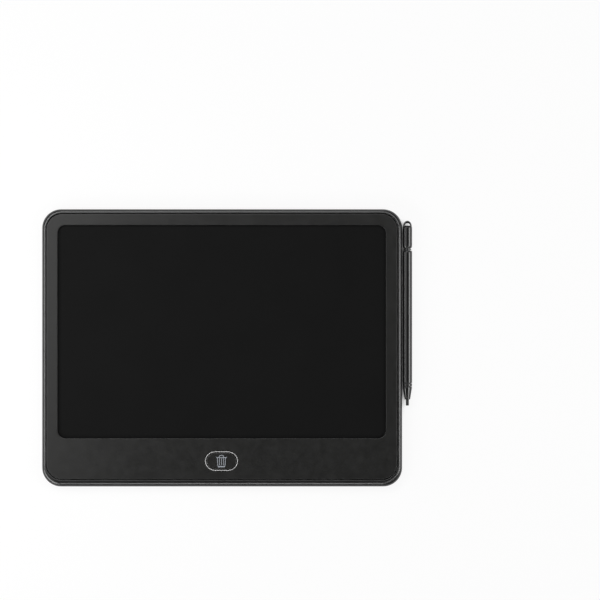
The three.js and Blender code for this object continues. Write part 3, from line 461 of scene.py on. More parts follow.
def with_battery_bay(shell):
    wall_foot, boss_foot, boss_radius = 1.0, 0.9, 3.8
    rebate_top, bay_top = 0.9, 4.1
    mouth_radius, mouth_top, hole_radius = 2.9, 1.5, 1.388
    slot_left, slot_right, slot_half, slot_top = -52.55, -49.94, 1.8, 3.4
    shell = joined(
        shell,
        slabs("walls", bay_walls(), wall_foot, BAY_WALL_TOP),
        slab("boss", circle(*SCREW, boss_radius), boss_foot, BAY_WALL_TOP),
    )
    slots = [corners((slot_left, slot_right, y - slot_half, y + slot_half)) for y in TONGUE_YS]
    rebate = rounded(inset(DOOR, -DOOR_GAP), DOOR_CORNER + DOOR_GAP, 8)
    return cut(
        shell,
        slab("rebate", rebate, -OVERRUN, rebate_top),
        slab("bay", circle(*COIN, BAY_RADIUS, FINE_STEPS), -OVERRUN, bay_top),
        slab("boss_mouth", circle(*SCREW, mouth_radius), -OVERRUN, mouth_top),
        slab("boss_hole", circle(*SCREW, hole_radius), 0, CASE_TOP),
        slabs("tongue_slots", slots, 0, slot_top),
    )


def with_slider_place(shell):
    """Rails for the lock slider inside the case, a dish and a slot for it outside."""
    rail_x, rail_width, rail_foot, rail_top = 3.45, 0.8, 1.175, 2.3
    dish_margin, dish_corner, slot_top = 1.6, 3.75, 2.4
    rails = []
    for side in (-1, 1):
        rail = around(SLIDER[0] + side * rail_x, LOCK_Y, rail_width, LOCK_FLANGE[1])
        rails.append(corners(rail))
    shell = joined(shell, slabs("rails", rails, rail_foot, rail_top))
    slot = around(SLIDER[0], LOCK_Y, *LOCK_SLOT)
    path = softened(DISH_PROFILE, 4)
    dish = skin("dish", rings_of(inset(slot, -dish_margin), dish_corner, path[::-1]))
    return cut(shell, dish, slab("slot", rounded(slot, LOCK_CORNER, 6), -OVERRUN, slot_top))


def with_inside(shell):
    """Standoffs of the circuit board, undercuts of the snap hooks and pockets of the magnets."""
    standoff_x, standoff_y, standoff_radius, standoff_foot, standoff_top = 14.2, 6.2, 1.9, 0.7, 2.0
    bore_radius, bore_foot, bore_top = 1.0, 0.6, 2.8
    undercut_reach, undercut_depth, undercut_margin, undercut_heights = 1.05, 1.3, 0.25, (2.95, 4.05)
    pocket_left, pocket_right, pocket_half, pocket_top = 93.57, 96.87, 5.2, 4.0
    magnet_ys = (38.1, -7.62)
    places = []
    for across, along in ((-1, -1), (1, -1), (-1, 1)):
        places.append((BUTTON[0] + across * standoff_x, BUTTON[1] + along * standoff_y))
    standoffs = [circle(x, y, standoff_radius, 32) for x, y in places]
    bores = [circle(x, y, bore_radius, 24) for x, y in places]
    shell = joined(shell, slabs("standoffs", standoffs, standoff_foot, standoff_top))
    undercuts = snap_tabs(undercut_reach, undercut_depth, undercut_margin)
    pockets = [corners((pocket_left, pocket_right, y - pocket_half, y + pocket_half)) for y in magnet_ys]
    return cut(
        shell,
        slabs("standoff_bores", bores, bore_foot, bore_top),
        slabs("undercuts", undercuts, *undercut_heights),
        slabs("pockets", pockets, FLOOR_TOP, pocket_top),
    )


def case_shell():
    shell = cut(tray(), scoop())
    shell = with_inside(with_slider_place(with_battery_bay(shell)))

    # Padlock symbols pressed into the back, at the two ends of the slider's travel
    closed_y, open_y, depth = LOCK_Y + 8.2, LOCK_Y - 8.6, 0.12
    marks = padlock(SLIDER[0], closed_y, False) + padlock(SLIDER[0], open_y, True)
    return cut(shell, *[slab("mark", points, -OVERRUN, depth) for points in marks])


def bezel_panel():
    band, hole_low, hole_high = 0.8, 3, 8
    tab_low, tab_high, hook_low, hook_high = 2.7, 5.8, 3.2, 3.8
    outside = softened([(0, PANEL_BOTTOM, 0), (0, CASE_TOP, PANEL_EDGE), (band, CASE_TOP, 0)])
    window = softened([(-band, CASE_TOP, 0), (0, CASE_TOP, WINDOW_EDGE), (0, PANEL_BOTTOM, 0)])
    panel = skin("bezel_panel", [
        *rings_of(PANEL, PANEL_CORNER, outside),
        *rings_of(WINDOW, WINDOW_CORNER, window),
    ], closed=True)
    seat_rings = [at(oval(shrink), z) for shrink, z in softened(SEAT_PROFILE, 3)]
    panel = cut(
        panel,
        slab("button_hole", oval(RING_STROKE), hole_low, hole_high),
        skin("ring_seat", seat_rings),
    )
    return joined(
        panel,
        slabs("tabs", snap_tabs(0, SNAP_THICKNESS), tab_low, tab_high),
        slabs("hooks", snap_tabs(SNAP_HOOK, SNAP_THICKNESS + SNAP_HOOK), hook_low, hook_high),
    )


def trim_ring():
    out, mid, into, foot_edge, top_edge = 0.14, 0.33, 0.52, 0.05, 0.06
    path = softened([
        (mid, RING_BOTTOM, 0), (out, RING_BOTTOM, foot_edge), (out, RING_TOP, top_edge),
        (into, RING_TOP, top_edge), (into, RING_BOTTOM, foot_edge), (mid, RING_BOTTOM, 0),
    ])[:-1]
    return skin("trim_ring", [at(oval(shrink), z) for shrink, z in path], closed=True)


def erase_key():
    return skin("erase_key_cap", [at(oval(shrink), z) for shrink, z in softened(KEY_PROFILE)])


def moved(points):
    """Points measured from the middle of the button, as points of the model."""
    return [(BUTTON[0] + x, BUTTON[1] + y) for x, y in points]


def mirrored(points):
    return [(-x, y) for x, y in points]


def stroke(points, width):
    """The outline of a line of that width, drawn through points on the button."""
    left, right = [], []
    for i, point in enumerate(points):
        here = Vector(point)
        before = Vector(points[max(i - 1, 0)])
        after = Vector(points[min(i + 1, len(points) - 1)])
        along = (after - before).normalized()
        across = Vector((-along.y, along.x)) * width / 2
        left.append(tuple(here + across))
        right.append(tuple(here - across))
    return moved(left + right[::-1])


def bin_symbol():
    """The rubbish bin printed on the erase button."""
    rib_y, rib_width, rib_height, rib_corner = -0.3, 0.32, 3.9, 0.12
    handle = BIN_HANDLE + mirrored(reversed(BIN_HANDLE[:-1]))
    others = [
        stroke(handle, BIN_STROKE),
        moved(BIN_LID),
        stroke(BIN_SIDE, BIN_STROKE),
        stroke(mirrored(BIN_SIDE), BIN_STROKE),
    ]
    symbol = slab("bin_symbol", moved(BIN_BASE), PRINT_BOTTOM, PRINT_TOP)
    parts = [slab("part", points[::-1], PRINT_BOTTOM, PRINT_TOP) for points in others]
    symbol = joined(symbol, *parts)
    ribs = [moved(rounded(around(x, rib_y, rib_width, rib_height), rib_corner, 3)) for x in BIN_RIBS]
    return joined(symbol, slabs("ribs", ribs, PRINT_BOTTOM, PRINT_TOP))


def battery_door():
    root, rib_top, tongue_low, tongue_top = 0.4, 1.5, 1.7, 2.4
    rib_y, rib_length, rib_width = 4, 12, 1.2
    neck_x, neck_length, tongue_width = -51.75, 1.0, 3.0
    tongue_left, tongue_right = -54.15, -51.25
    boss_radius, boss_top, hole_radius, hole_top = 2.6, 1.4, 1.25, 3.4
    door = skin("battery_door_skin", rings_of(DOOR, DOOR_CORNER, softened(DOOR_PROFILE, 4)))
    ribs = [corners(around(COIN[0], COIN[1] + side * rib_y, rib_length, rib_width)) for side in (-1, 1)]
    necks = [corners(around(neck_x, y, neck_length, tongue_width)) for y in TONGUE_YS]
    half = tongue_width / 2
    tongues = [corners((tongue_left, tongue_right, y - half, y + half)) for y in TONGUE_YS]
    door = joined(
        door,
        slabs("ribs", ribs, root, rib_top),
        slabs("necks", necks, root, tongue_top),
        slabs("tongues", tongues, tongue_low, tongue_top),
        slab("boss", circle(*SCREW, boss_radius), root, boss_top),
    )
    return cut(
        door,
        upright("mouth", *SCREW, softened(SCREW_MOUTH_PROFILE, 3)),
        slab("hole", circle(*SCREW, hole_radius), -OVERRUN, hole_top),
    )


def door_screw():
    arm_width, arm_length, arm_corner, arm_low, arm_depth = 0.6, 2.5, 0.12, -1, 0.6
    screw = upright("door_screw", *SCREW, softened(SCREW_PROFILE, 4))
    arms = []
    for size in ((arm_width, arm_length), (arm_length, arm_width)):
        arms.append(slab("arm", rounded(around(*SCREW, *size), arm_corner, 3), arm_low, arm_depth))
    return cut(screw, *arms)


def lock_knob():
    x, y = SLIDER
    knob_width, knob_length = 3.8, 5.5
    flange_low, flange_top = 1.5, 2.0
    post_width, post_half, post_top = 1.8, 1.7, 4.15
    notch_reach, notch_half, notch_low, notch_top = 2, 0.8, 3.1, 6
    groove_pitch, groove_length, groove_width, groove_depth = 1.3, 7.6, 0.5, 0.45
    knob_area = around(x, y, knob_width, knob_length)
    knob = skin("lock_knob", rings_of(knob_area, LOCK_CORNER, softened(KNOB_PROFILE, 4)))
    flange = around(x, y, *LOCK_FLANGE)
    post = (flange[0], flange[0] + post_width, y - post_half, y + post_half)
    knob = joined(
        knob,
        slab("flange", corners(flange), flange_low, flange_top),
        slab("post", corners(post), flange_low, post_top),
    )
    notch = (flange[0] - notch_reach, flange[0] + notch_reach, y - notch_half, y + notch_half)
    grooves = []
    for i in (-1, 0, 1):
        grooves.append(corners(around(x, y + groove_pitch * i, groove_length, groove_width)))
    return cut(
        knob,
        slab("notch", corners(notch), notch_low, notch_top),
        slabs("grooves", grooves, -OVERRUN, groove_depth),
    )


def coin_cell():
    arm_length, arm_width, arm_top = 4, 0.7, 1.66
    cell = upright("coin_cell_can", *COIN, softened(CELL_PROFILE), FINE_STEPS)
    arms = []
    for size in ((arm_length, arm_width), (arm_width, arm_length)):
        arms.append(slab("arm", corners(around(*COIN, *size)), 0, arm_top))
    return cut(cell, *arms)


def stylus_cap():
    half_thick, edge, flat = 1.2, 0.45, 0.9
    loop_half, loop_height, loop_sink = 2.35, 3.1, 0.5
    hole_half, hole_height, hole_foot, hole_lift, hole_heights = 1.55, 1.35, 0.4, 0.4, (-1, 8)
    steps = 24
    cap = lathe("stylus_cap_body", softened(CAP_PROFILE))

    def arch(half, height, low, lift=0.0):
        points = [(-half, low), (half, low)]
        for i in range(steps + 1):
            c, s = turn(180 * i / steps)
            points.append((half * c, lift + height * s))
        return [(STYLUS[0] + x, CAP_END + y) for x, y in points]

    profile = softened([
        (flat, -half_thick, 0), (0, -half_thick, edge), (0, half_thick, edge), (flat, half_thick, 0),
    ])
    rings = []
    for amount, z in profile:
        rings.append(at(arch(loop_half - amount, loop_height - amount, -loop_sink), STYLUS[1] + z))
    hole = slab("hole", arch(hole_half, hole_height, hole_foot, hole_lift), *hole_heights)
    return joined(cap, cut(skin("loop", rings), hole))


def stylus_pieces():
    """Each piece of the stylus, with the name of the node that it takes the place of."""
    barrel = lathe("stylus_tube", softened(BARREL_PROFILE), closed=True)
    neck = lathe("stylus_neck_band", softened(NECK_PROFILE, 4), closed=True)
    band = lathe("stylus_tip_band", softened(TIP_RING_PROFILE, 4), closed=True)
    cone = lathe("stylus_cone", softened(TIP_CONE_PROFILE))
    nib = lathe("stylus_point", softened(NIB_PROFILE, 6), steps=32)
    return [
        (stylus_cap(), "stylus_cap"),
        (barrel, "stylus_barrel"),
        (neck, "stylus_neck_ring"),
        (band, "stylus_tip_ring"),
        (cone, "stylus_tip_cone"),
        (nib, "stylus_nib"),
    ]


# Materials: depths and sizes of their grain are in millimetres
NOISE_LOW, NOISE_HIGH = 0.3, 0.7
SRGB_KNEE, SRGB_SLOPE, SRGB_OFFSET, SRGB_POWER = 0.04045, 12.92, 0.055, 2.4


def shade(value):
    """A grey or colour from 0 to 255, as the linear colour that a shader takes."""
    values = value if isinstance(value, tuple) else (value,) * 3
    linear = []
    for v in values:
        v = v / 255
        curve = ((v + SRGB_OFFSET) / (1 + SRGB_OFFSET)) ** SRGB_POWER
        linear.append(v / SRGB_SLOPE if v <= SRGB_KNEE else curve)
    return (*linear, 1)


class Look:
    """A material under construction: its shader and the nodes that feed it."""

    def __init__(self, name, colour, roughness, metallic=0.0, shine=0.5):
        self.material = bpy.data.materials.new(name)
        self.material.use_nodes = True
        self.tree = self.material.node_tree
        self.shader = self.tree.nodes["Principled BSDF"]
        self.colour = shade(colour)
        self.roughness = roughness
        self.shader.inputs["Base Color"].default_value = self.colour
        self.shader.inputs["Roughness"].default_value = roughness
        self.shader.inputs["Metallic"].default_value = metallic
        self.shader.inputs["Specular IOR Level"].default_value = shine
        self.places = self.node("ShaderNodeTexCoord")
        self.bump = None

    def node(self, kind, **settings):
        made = self.tree.nodes.new(kind)
        for key, value in settings.items():
            setattr(made, key, value)
        return made

    def link(self, source, target):
        self.tree.links.new(source, target)

    def part_of(self, source, axis):
        """One coordinate of a place on the surface."""
        parts = self.node("ShaderNodeSeparateXYZ")
        self.link(self.places.outputs[source], parts.inputs["Vector"])
        return parts.outputs[axis]

    def noise(self, size_mm, stretch=(1, 1, 1), detail=3.0):
        """Noise with features of that size, longer along an axis whose stretch is small."""
        mapping = self.node("ShaderNodeMapping")
        mapping.inputs["Scale"].default_value = tuple(s / (size_mm * MM) for s in stretch)
        noise = self.node("ShaderNodeTexNoise")
        noise.inputs["Scale"].default_value = 1.0
        noise.inputs["Detail"].default_value = detail
        self.link(self.places.outputs["Object"], mapping.inputs["Vector"])
        self.link(mapping.outputs["Vector"], noise.inputs["Vector"])
        return noise.outputs["Fac"]

    def ranged(self, value, low, high, from_low=NOISE_LOW, from_high=NOISE_HIGH):
        """A value that goes from low to high while another goes between two limits."""
        node = self.node("ShaderNodeMapRange")
        node.inputs["From Min"].default_value = from_low
        node.inputs["From Max"].default_value = from_high
        node.inputs["To Min"].default_value = low
        node.inputs["To Max"].default_value = high
        self.link(value, node.inputs["Value"])
        return node.outputs["Result"]

    def mixed(self, factor, low, high):
        """A colour between two colours, or between what two sockets give."""
        node = self.node("ShaderNodeMix", data_type="RGBA")
        self.link(factor, node.inputs[0])
        for value, socket in ((low, node.inputs[6]), (high, node.inputs[7])):
            if isinstance(value, bpy.types.NodeSocket):
                self.link(value, socket)
            else:
                socket.default_value = value
        return node.outputs[2]

    def mottled(self, spread, size_mm=25.0, stretch=(1, 1, 1)):
        """The colour a little darker and lighter from place to place."""
        low = tuple(c * (1 - spread) for c in self.colour[:3]) + (1,)
        high = tuple(c * (1 + spread) for c in self.colour[:3]) + (1,)
        factor = self.ranged(self.noise(size_mm, stretch), 0, 1)
        self.paint(self.mixed(factor, low, high))
        return self

    def paint(self, socket):
        self.link(socket, self.shader.inputs["Base Color"])
        return self

    def uneven(self, spread, size_mm, stretch=(1, 1, 1)):
        """The roughness a little lower and higher from place to place."""
        low, high = self.roughness - spread, self.roughness + spread
        socket = self.ranged(self.noise(size_mm, stretch), low, high)
        self.link(socket, self.shader.inputs["Roughness"])
        return self

    def raised(self, socket, depth_mm):
        """A height in the surface; a second one goes on top of the first."""
        bump = self.node("ShaderNodeBump")
        bump.inputs["Strength"].default_value = 1.0
        bump.inputs["Distance"].default_value = depth_mm * MM
        self.link(socket, bump.inputs["Height"])
        if self.bump:
            self.link(self.bump.outputs["Normal"], bump.inputs["Normal"])
        self.bump = bump
        self.link(bump.outputs["Normal"], self.shader.inputs["Normal"])
        return self

    def grained(self, size_mm, depth_mm, stretch=(1, 1, 1)):
        return self.raised(self.noise(size_mm, stretch), depth_mm)


MOULD_MOTTLE = 0.05
MOULD_SPREAD = 0.03
MOULD_PATCH = 4.0
MOULD_GRAIN = 0.22
MOULD_DEPTH = 0.004


def moulded(name, colour, roughness, shine=0.5, grain=MOULD_GRAIN, depth=MOULD_DEPTH):
    """Moulded plastic with the fine grain of its tool."""
    look = Look(name, colour, roughness, shine=shine)
    return look.mottled(MOULD_MOTTLE).uneven(MOULD_SPREAD, MOULD_PATCH).grained(grain, depth)


def case_finish(name, colour, roughness, shine):
    """Glossy on the rim and the sides, with a fine eroded texture on the flat back."""
    back_low, back_high, back_roughness = 0.02 * MM, 0.3 * MM, 0.5
    pit_size, pit_detail, pit_low, pit_high, pit_depth = 0.7, 4.0, 0.35, 0.65, 0.05
    look = Look(name, colour, roughness, shine=shine).mottled(MOULD_MOTTLE)
    look.grained(MOULD_GRAIN, MOULD_DEPTH)
    back = look.ranged(look.part_of("Object", "Z"), 1, 0, back_low, back_high)
    pits = look.ranged(look.noise(pit_size, detail=pit_detail), 0, 1, pit_low, pit_high)
    relief = look.node("ShaderNodeMath", operation="MULTIPLY")
    look.link(back, relief.inputs[0])
    look.link(pits, relief.inputs[1])
    look.raised(relief.outputs[0], pit_depth)
    low, high = roughness - MOULD_SPREAD, roughness + MOULD_SPREAD
    glossy = look.ranged(look.noise(MOULD_PATCH), low, high)
    rough = look.node("ShaderNodeMix")
    look.link(back, rough.inputs[0])
    look.link(glossy, rough.inputs[2])
    rough.inputs[3].default_value = back_roughness
    look.link(rough.outputs[0], look.shader.inputs["Roughness"])
    return look


BRUSH_MOTTLE = 0.12
BRUSH_SPREAD = 0.07
BRUSH_DEPTH = 0.002
SCREW_GREY = 170
SCREW_ROUGHNESS = 0.34
SCREW_GRAIN = 0.2


def brushed(name, colour, roughness, stretch=(0.04, 1, 1), size=0.12):
    """Metal with fine marks along the axis whose stretch is small."""
    look = Look(name, colour, roughness, metallic=1.0)
    look.mottled(BRUSH_MOTTLE, size, stretch).uneven(BRUSH_SPREAD, size, stretch)
    return look.grained(size, BRUSH_DEPTH, stretch)


def steel_painted_recess_shade():
    """Screw steel whose cross recess, which lies deeper than the head's face, is painted dark as shade."""
    face, deepest = 0.2 * MM, 0.45 * MM
    worn, clean, recess = shade(160), shade(180), shade(50)
    look = Look("steel_painted_recess_shade", SCREW_GREY, SCREW_ROUGHNESS, metallic=1.0)
    look.uneven(BRUSH_SPREAD, SCREW_GRAIN).grained(SCREW_GRAIN, BRUSH_DEPTH)
    recess_shade_mask = look.ranged(look.part_of("Object", "Z"), 0, 1, face, deepest)
    bright = look.mixed(look.ranged(look.noise(SCREW_GRAIN), 0, 1), worn, clean)
    # Painted shade: the cross recess turns from the steel's grey to dark as it lies deeper
    return look.paint(look.mixed(recess_shade_mask, bright, recess))


def satin(name, colour, roughness):
    """Smooth plated metal with a barely uneven satin finish."""
    look = Look(name, colour, roughness, metallic=1.0)
    mottle, mottle_size, spread, patch, grain, depth = 0.04, 3.0, 0.03, 1.0, 0.6, 0.0006
    return look.mottled(mottle, mottle_size).uneven(spread, patch).grained(grain, depth)


def spun_steel():
    """Stainless steel with fine turning marks round the middle of the cell."""
    grey, roughness, pitch, detail, depth = 205, 0.28, 0.09, 2.0, 0.0015
    darker, lighter = shade(180), shade(214)
    look = Look("cell_steel", grey, roughness, metallic=1.0)
    mapping = look.node("ShaderNodeMapping")
    mapping.inputs["Location"].default_value = (-COIN[0] * MM, -COIN[1] * MM, 0)
    flat = look.node("ShaderNodeVectorMath", operation="MULTIPLY")
    flat.inputs[1].default_value = (1, 1, 0)
    length = look.node("ShaderNodeVectorMath", operation="LENGTH")
    noise = look.node("ShaderNodeTexNoise", noise_dimensions="1D")
    noise.inputs["Scale"].default_value = 1 / (pitch * MM)
    noise.inputs["Detail"].default_value = detail
    look.link(look.places.outputs["Object"], mapping.inputs["Vector"])
    look.link(mapping.outputs["Vector"], flat.inputs[0])
    look.link(flat.outputs["Vector"], length.inputs[0])
    look.link(length.outputs["Value"], noise.inputs["W"])
    look.paint(look.mixed(look.ranged(noise.outputs["Fac"], 0, 1), darker, lighter))
    return look.raised(noise.outputs["Fac"], depth)


def board_green():
    """Green solder mask over copper tracks, with a woven ground."""
    green, roughness, spread, patch = (28, 92, 52), 0.35, 0.05, 0.4
    ground, copper = shade((18, 72, 40)), shade((52, 128, 74))
    scale, distortion, track_low, track_high, depth = 220, 9, 0.62, 0.7, 0.03
    look = Look("circuit_laminate", green, roughness)
    tracks = look.node("ShaderNodeTexWave", wave_type="BANDS", bands_direction="DIAGONAL")
    tracks.inputs["Scale"].default_value = scale
    tracks.inputs["Distortion"].default_value = distortion
    tracks.inputs["Detail"].default_value = 0
    look.link(look.places.outputs["Object"], tracks.inputs["Vector"])
    mask = look.ranged(tracks.outputs["Fac"], 0, 1, track_low, track_high)
    look.paint(look.mixed(mask, ground, copper))
    return look.raised(mask, depth).uneven(spread, patch)


def ends_and_middle(name, axis, middle, ends, share):
    """A small soldered part: bright ends and a plain middle, along one axis of its own box."""
    roughness, centre, fade, darker, patch, grain, depth = 0.5, 0.5, 0.02, 0.85, 0.3, 0.15, 0.004
    look = Look(name, middle, roughness)
    centred = look.node("ShaderNodeMath", operation="SUBTRACT")
    centred.inputs[1].default_value = centre
    size = look.node("ShaderNodeMath", operation="ABSOLUTE")
    look.link(look.part_of("Generated", axis), centred.inputs[0])
    look.link(centred.outputs["Value"], size.inputs[0])
    mask = look.ranged(size.outputs["Value"], 0, 1, centre - share, centre + fade - share)
    dark = shade(tuple(v * darker for v in middle))
    body = look.mixed(look.ranged(look.noise(patch), 0, 1), shade(middle), dark)
    look.paint(look.mixed(mask, body, shade(ends)))
    look.link(mask, look.shader.inputs["Metallic"])
    return look.grained(grain, depth)


def amber_flex():
    """Amber film with parallel copper lines."""
    amber, roughness, scale, line_low, line_high, depth = (190, 122, 50), 0.3, 300, 0.45, 0.6, 0.02
    ground, copper = shade((172, 104, 38)), shade((214, 148, 72))
    look = Look("flex_film", amber, roughness)
    lines = look.node("ShaderNodeTexWave", wave_type="BANDS", bands_direction="X")
    lines.inputs["Scale"].default_value = scale
    look.link(look.places.outputs["Object"], lines.inputs["Vector"])
    mask = look.ranged(lines.outputs["Fac"], 0, 1, line_low, line_high)
    look.paint(look.mixed(mask, ground, copper))
    return look.raised(mask, depth)


def foam_grey():
    """Open foam whose hollow cells are painted darker than their lighter walls, as shade."""
    grey, roughness, shine, cell_size = (74, 74, 78), 0.95, 0.2, 0.5
    dark, light, cell_low, cell_high, depth = shade((48, 48, 52)), shade((88, 88, 92)), 0.1, 0.6, 0.15
    look = Look("foam", grey, roughness, shine=shine)
    cells = look.node("ShaderNodeTexVoronoi")
    cells.inputs["Scale"].default_value = 1 / (cell_size * MM)
    look.link(look.places.outputs["Object"], cells.inputs["Vector"])
    factor = look.ranged(cells.outputs["Distance"], 0, 1, cell_low, cell_high)
    # Painted shade: dark in the hollows of the cells, lighter on the walls
    look.paint(look.mixed(factor, dark, light))
    return look.raised(cells.outputs["Distance"], depth)


# Each look by its name, with its grey or colour and its roughness
LOOKS = {
    "case_plastic": case_finish("case_plastic", 25, 0.24, shine=1.0),
    "panel_plastic": moulded(
        "panel_plastic", (23, 23, 22), 0.32, shine=0.8, grain=0.3, depth=0.0012,
    ),
    "screen_film": moulded("screen_film", 20, 0.6, shine=0.05, grain=0.12, depth=0.0008),
    "adhesive_tape": moulded("adhesive_tape", 16, 0.75, grain=0.4, depth=0.02),
    "board_sheet": moulded("board_sheet", 24, 0.6, grain=0.5, depth=0.01),
    "foam": foam_grey(),
    "magnet": brushed("magnet", 150, 0.3, (1, 0.1, 1)),
    "screw_steel": brushed("screw_steel", SCREW_GREY, SCREW_ROUGHNESS, (1, 1, 1), SCREW_GRAIN),
    "steel_painted_recess_shade": steel_painted_recess_shade(),
    "nickel_strip": brushed("nickel_strip", 205, 0.26, (0.05, 1, 1)),
    "cell_steel": spun_steel(),
    "circuit_laminate": board_green(),
    "flex_film": amber_flex(),
    "switch_steel": brushed("switch_steel", 178, 0.34),
    "chip_plastic": ends_and_middle("chip_plastic", "Y", (30, 30, 32), (200, 200, 200), 0.17),
    "trim_silver": satin("trim_silver", 210, 0.62),
    "switch_plastic": moulded("switch_plastic", (226, 224, 216), 0.45),
    "ferrite": moulded("ferrite", (58, 58, 60), 0.7, grain=0.3, depth=0.02),
    "ceramic": ends_and_middle("ceramic", "X", (176, 141, 98), (205, 205, 205), 0.22),
    "stylus_plastic": moulded("stylus_plastic", 24, 0.14, shine=1.0, grain=0.5, depth=0.0006),
    "core_steel": brushed("core_steel", 168, 0.4, (1, 0.03, 1)),
    "nib_plastic": moulded("nib_plastic", 34, 0.32, grain=0.2, depth=0.002),
    "button_print": moulded("button_print", (150, 155, 162), 0.5, grain=0.15, depth=0.002),
}

# The CAD nodes that stay in view, each with its own slot's material
for part in frame["record"]["subparts"]:
    node = frame["nodes"][part["node"]]
    node.data.materials.clear()
    node.data.materials.append(LOOKS[part["material_slot"]].material)


SHARP_ANGLE = 32


def dressed(piece, body, look, slot, *nodes):
    """Gives a piece its look and shading, its body and the nodes that it takes the place of; slot is not
    used.
    """
    mesh = piece.data
    mesh.materials.clear()
    mesh.materials.append(LOOKS[look].material)
    mesh.shade_smooth()
    mesh.set_sharp_from_angle(angle=math.radians(SHARP_ANGLE))
    weighted = piece.modifiers.new("weighted_normals", "WEIGHTED_NORMAL")
    weighted.keep_sharp = True
    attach(piece, body)
    if nodes:
        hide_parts(*nodes)


dressed(case_shell(), "case", "case_plastic", "case_plastic", "back_cover")
dressed(bezel_panel(), "case", "panel_plastic", "panel_plastic", "front_bezel")
dressed(trim_ring(), "case", "trim_silver", "trim_silver", "button_trim_ring")
dressed(erase_key(), "erase_key", "panel_plastic", "panel_plastic", "erase_button")
dressed(bin_symbol(), "erase_key", "button_print", "panel_plastic")
dressed(battery_door(), "door", "case_plastic", "case_plastic", "battery_door")
dressed(door_screw(), "door_screw", "steel_painted_recess_shade", "screw_steel", "battery_door_screw")
dressed(lock_knob(), "lock", "case_plastic", "case_plastic", "lock_slider")
dressed(coin_cell(), "case", "cell_steel", "cell_steel", "coin_cell")
for piece, node in stylus_pieces():
    look = "nib_plastic" if node == "stylus_nib" else "stylus_plastic"
    dressed(piece, "stylus", look, look, node)


# Floor: pale, white to the camera and in reflections, with the object's soft shadow kept and shade painted
# into its glow near the object
FLOOR_SIZE = 6.0
FLOOR_Z = -0.2
FLOOR_LEDGE = 2.5
FLOOR_WHITE = 0.88
FLOOR_PAINT = (0.9, 0.9, 0.9, 1)
WHITE = (1, 1, 1, 1)

# How nearness to the object paints shade into the floor's glow: from and to values of the openness and of
# the light
CONTACT_REACH = 25.0
CONTACT_SAMPLES = 8
GAP_RANGE = (0.14, 0.48, 0.01, 1.0)
REFLECTED_RANGE = (0.68, 1.0, 0.03, 0.8)


def wired(tree, kind, links=(), **settings):
    """A node with its inputs linked or set; inputs are given as pairs of socket and source."""
    node = tree.nodes.new(kind)
    for key, value in settings.items():
        setattr(node, key, value)
    for socket, source in links:
        if isinstance(source, bpy.types.NodeSocket):
            tree.links.new(source, node.inputs[socket])
        else:
            node.inputs[socket].default_value = source
    return node


def mapped(tree, value, limits, **settings):
    """A value mapped from the first two limits to the last two."""
    names = ("From Min", "From Max", "To Min", "To Max")
    links = [("Value", value), *zip(names, limits)]
    return wired(tree, "ShaderNodeMapRange", links, **settings).outputs["Result"]


def floor_plane():
    """Open under the tablet, where nothing shows from above, so that its back can be lit and seen."""
    half = FLOOR_SIZE / 2 / MM
    outside = [corners((-half, half, -half, half))[i] for i in (3, 0, 1, 2)]
    opening = rounded(inset(CASE, FLOOR_LEDGE), CASE_CORNER - FLOOR_LEDGE)
    side_steps = len(opening) // 4
    faces = []
    for k in range(4):
        steps = range(k * side_steps, (k + 1) * side_steps + 1)
        quarter = [4 + (i % len(opening)) for i in steps]
        faces.append((*reversed(quarter), (k + 1) % 4, (k + 2) % 4))
    plane = mesh_object("floor", at(outside + opening, FLOOR_Z), faces)
    for face in plane.data.polygons:
        if face.normal.z < 0:
            face.flip()
    return plane


def floor():
    plane = floor_plane()
    material = bpy.data.materials.new("floor_white")
    material.use_nodes = True
    tree = material.node_tree
    tree.nodes.clear()
    rays = tree.nodes.new("ShaderNodeLightPath").outputs

    def larger(first, second):
        links = [(0, first), (1, second)]
        return wired(tree, "ShaderNodeMath", links, operation="MAXIMUM").outputs[0]

    reflected = larger(rays["Is Glossy Ray"], rays["Is Transmission Ray"])
    seen = larger(rays["Is Camera Ray"], reflected)
    share = wired(tree, "ShaderNodeMath", [(0, seen), (1, FLOOR_WHITE)], operation="MULTIPLY")

    # Painted shade: ambient occlusion darkens the floor's glow in the narrow gap beside the stylus, and in
    # reflections near the object
    links = [("Distance", CONTACT_REACH * MM)]
    nearness = wired(tree, "ShaderNodeAmbientOcclusion", links, samples=CONTACT_SAMPLES).outputs["AO"]
    gap = mapped(tree, nearness, GAP_RANGE)
    reflection_shade = mapped(tree, nearness, REFLECTED_RANGE)
    glow_with_painted_shade = wired(tree, "ShaderNodeMix", [(0, rays["Is Camera Ray"]), (2, reflection_shade), (3, gap)])
    glow = wired(tree, "ShaderNodeEmission", [("Color", glow_with_painted_shade.outputs[0]), ("Strength", 1.0)])
    paint = wired(tree, "ShaderNodeBsdfDiffuse", [("Color", FLOOR_PAINT)])
    lit = wired(tree, "ShaderNodeMixShader", [
        ("Fac", share.outputs[0]), (1, paint.outputs["BSDF"]), (2, glow.outputs["Emission"]),
    ])

    # From below the floor is not in the way, and light from below passes it
    clear = tree.nodes.new("ShaderNodeBsdfTransparent")
    side = tree.nodes.new("ShaderNodeNewGeometry")
    lighting = larger(rays["Is Shadow Ray"], rays["Is Diffuse Ray"])
    passing = larger(side.outputs["Backfacing"], lighting)
    both = wired(tree, "ShaderNodeMixShader", [
        ("Fac", passing), (1, lit.outputs["Shader"]), (2, clear.outputs["BSDF"]),
    ])
    wired(tree, "ShaderNodeOutputMaterial", [("Surface", both.outputs["Shader"])])
    plane.data.materials.append(material)


floor()

# World: white to the camera, and a grey backdrop under a dim ceiling to all else
CEILING = 0.045
BACKDROP = 0.3
UNDERSIDE = 0.35
BACKDROP_HEIGHTS = (0.05, 0.4)
UNDERSIDE_HEIGHTS = (-1.0, -0.1)

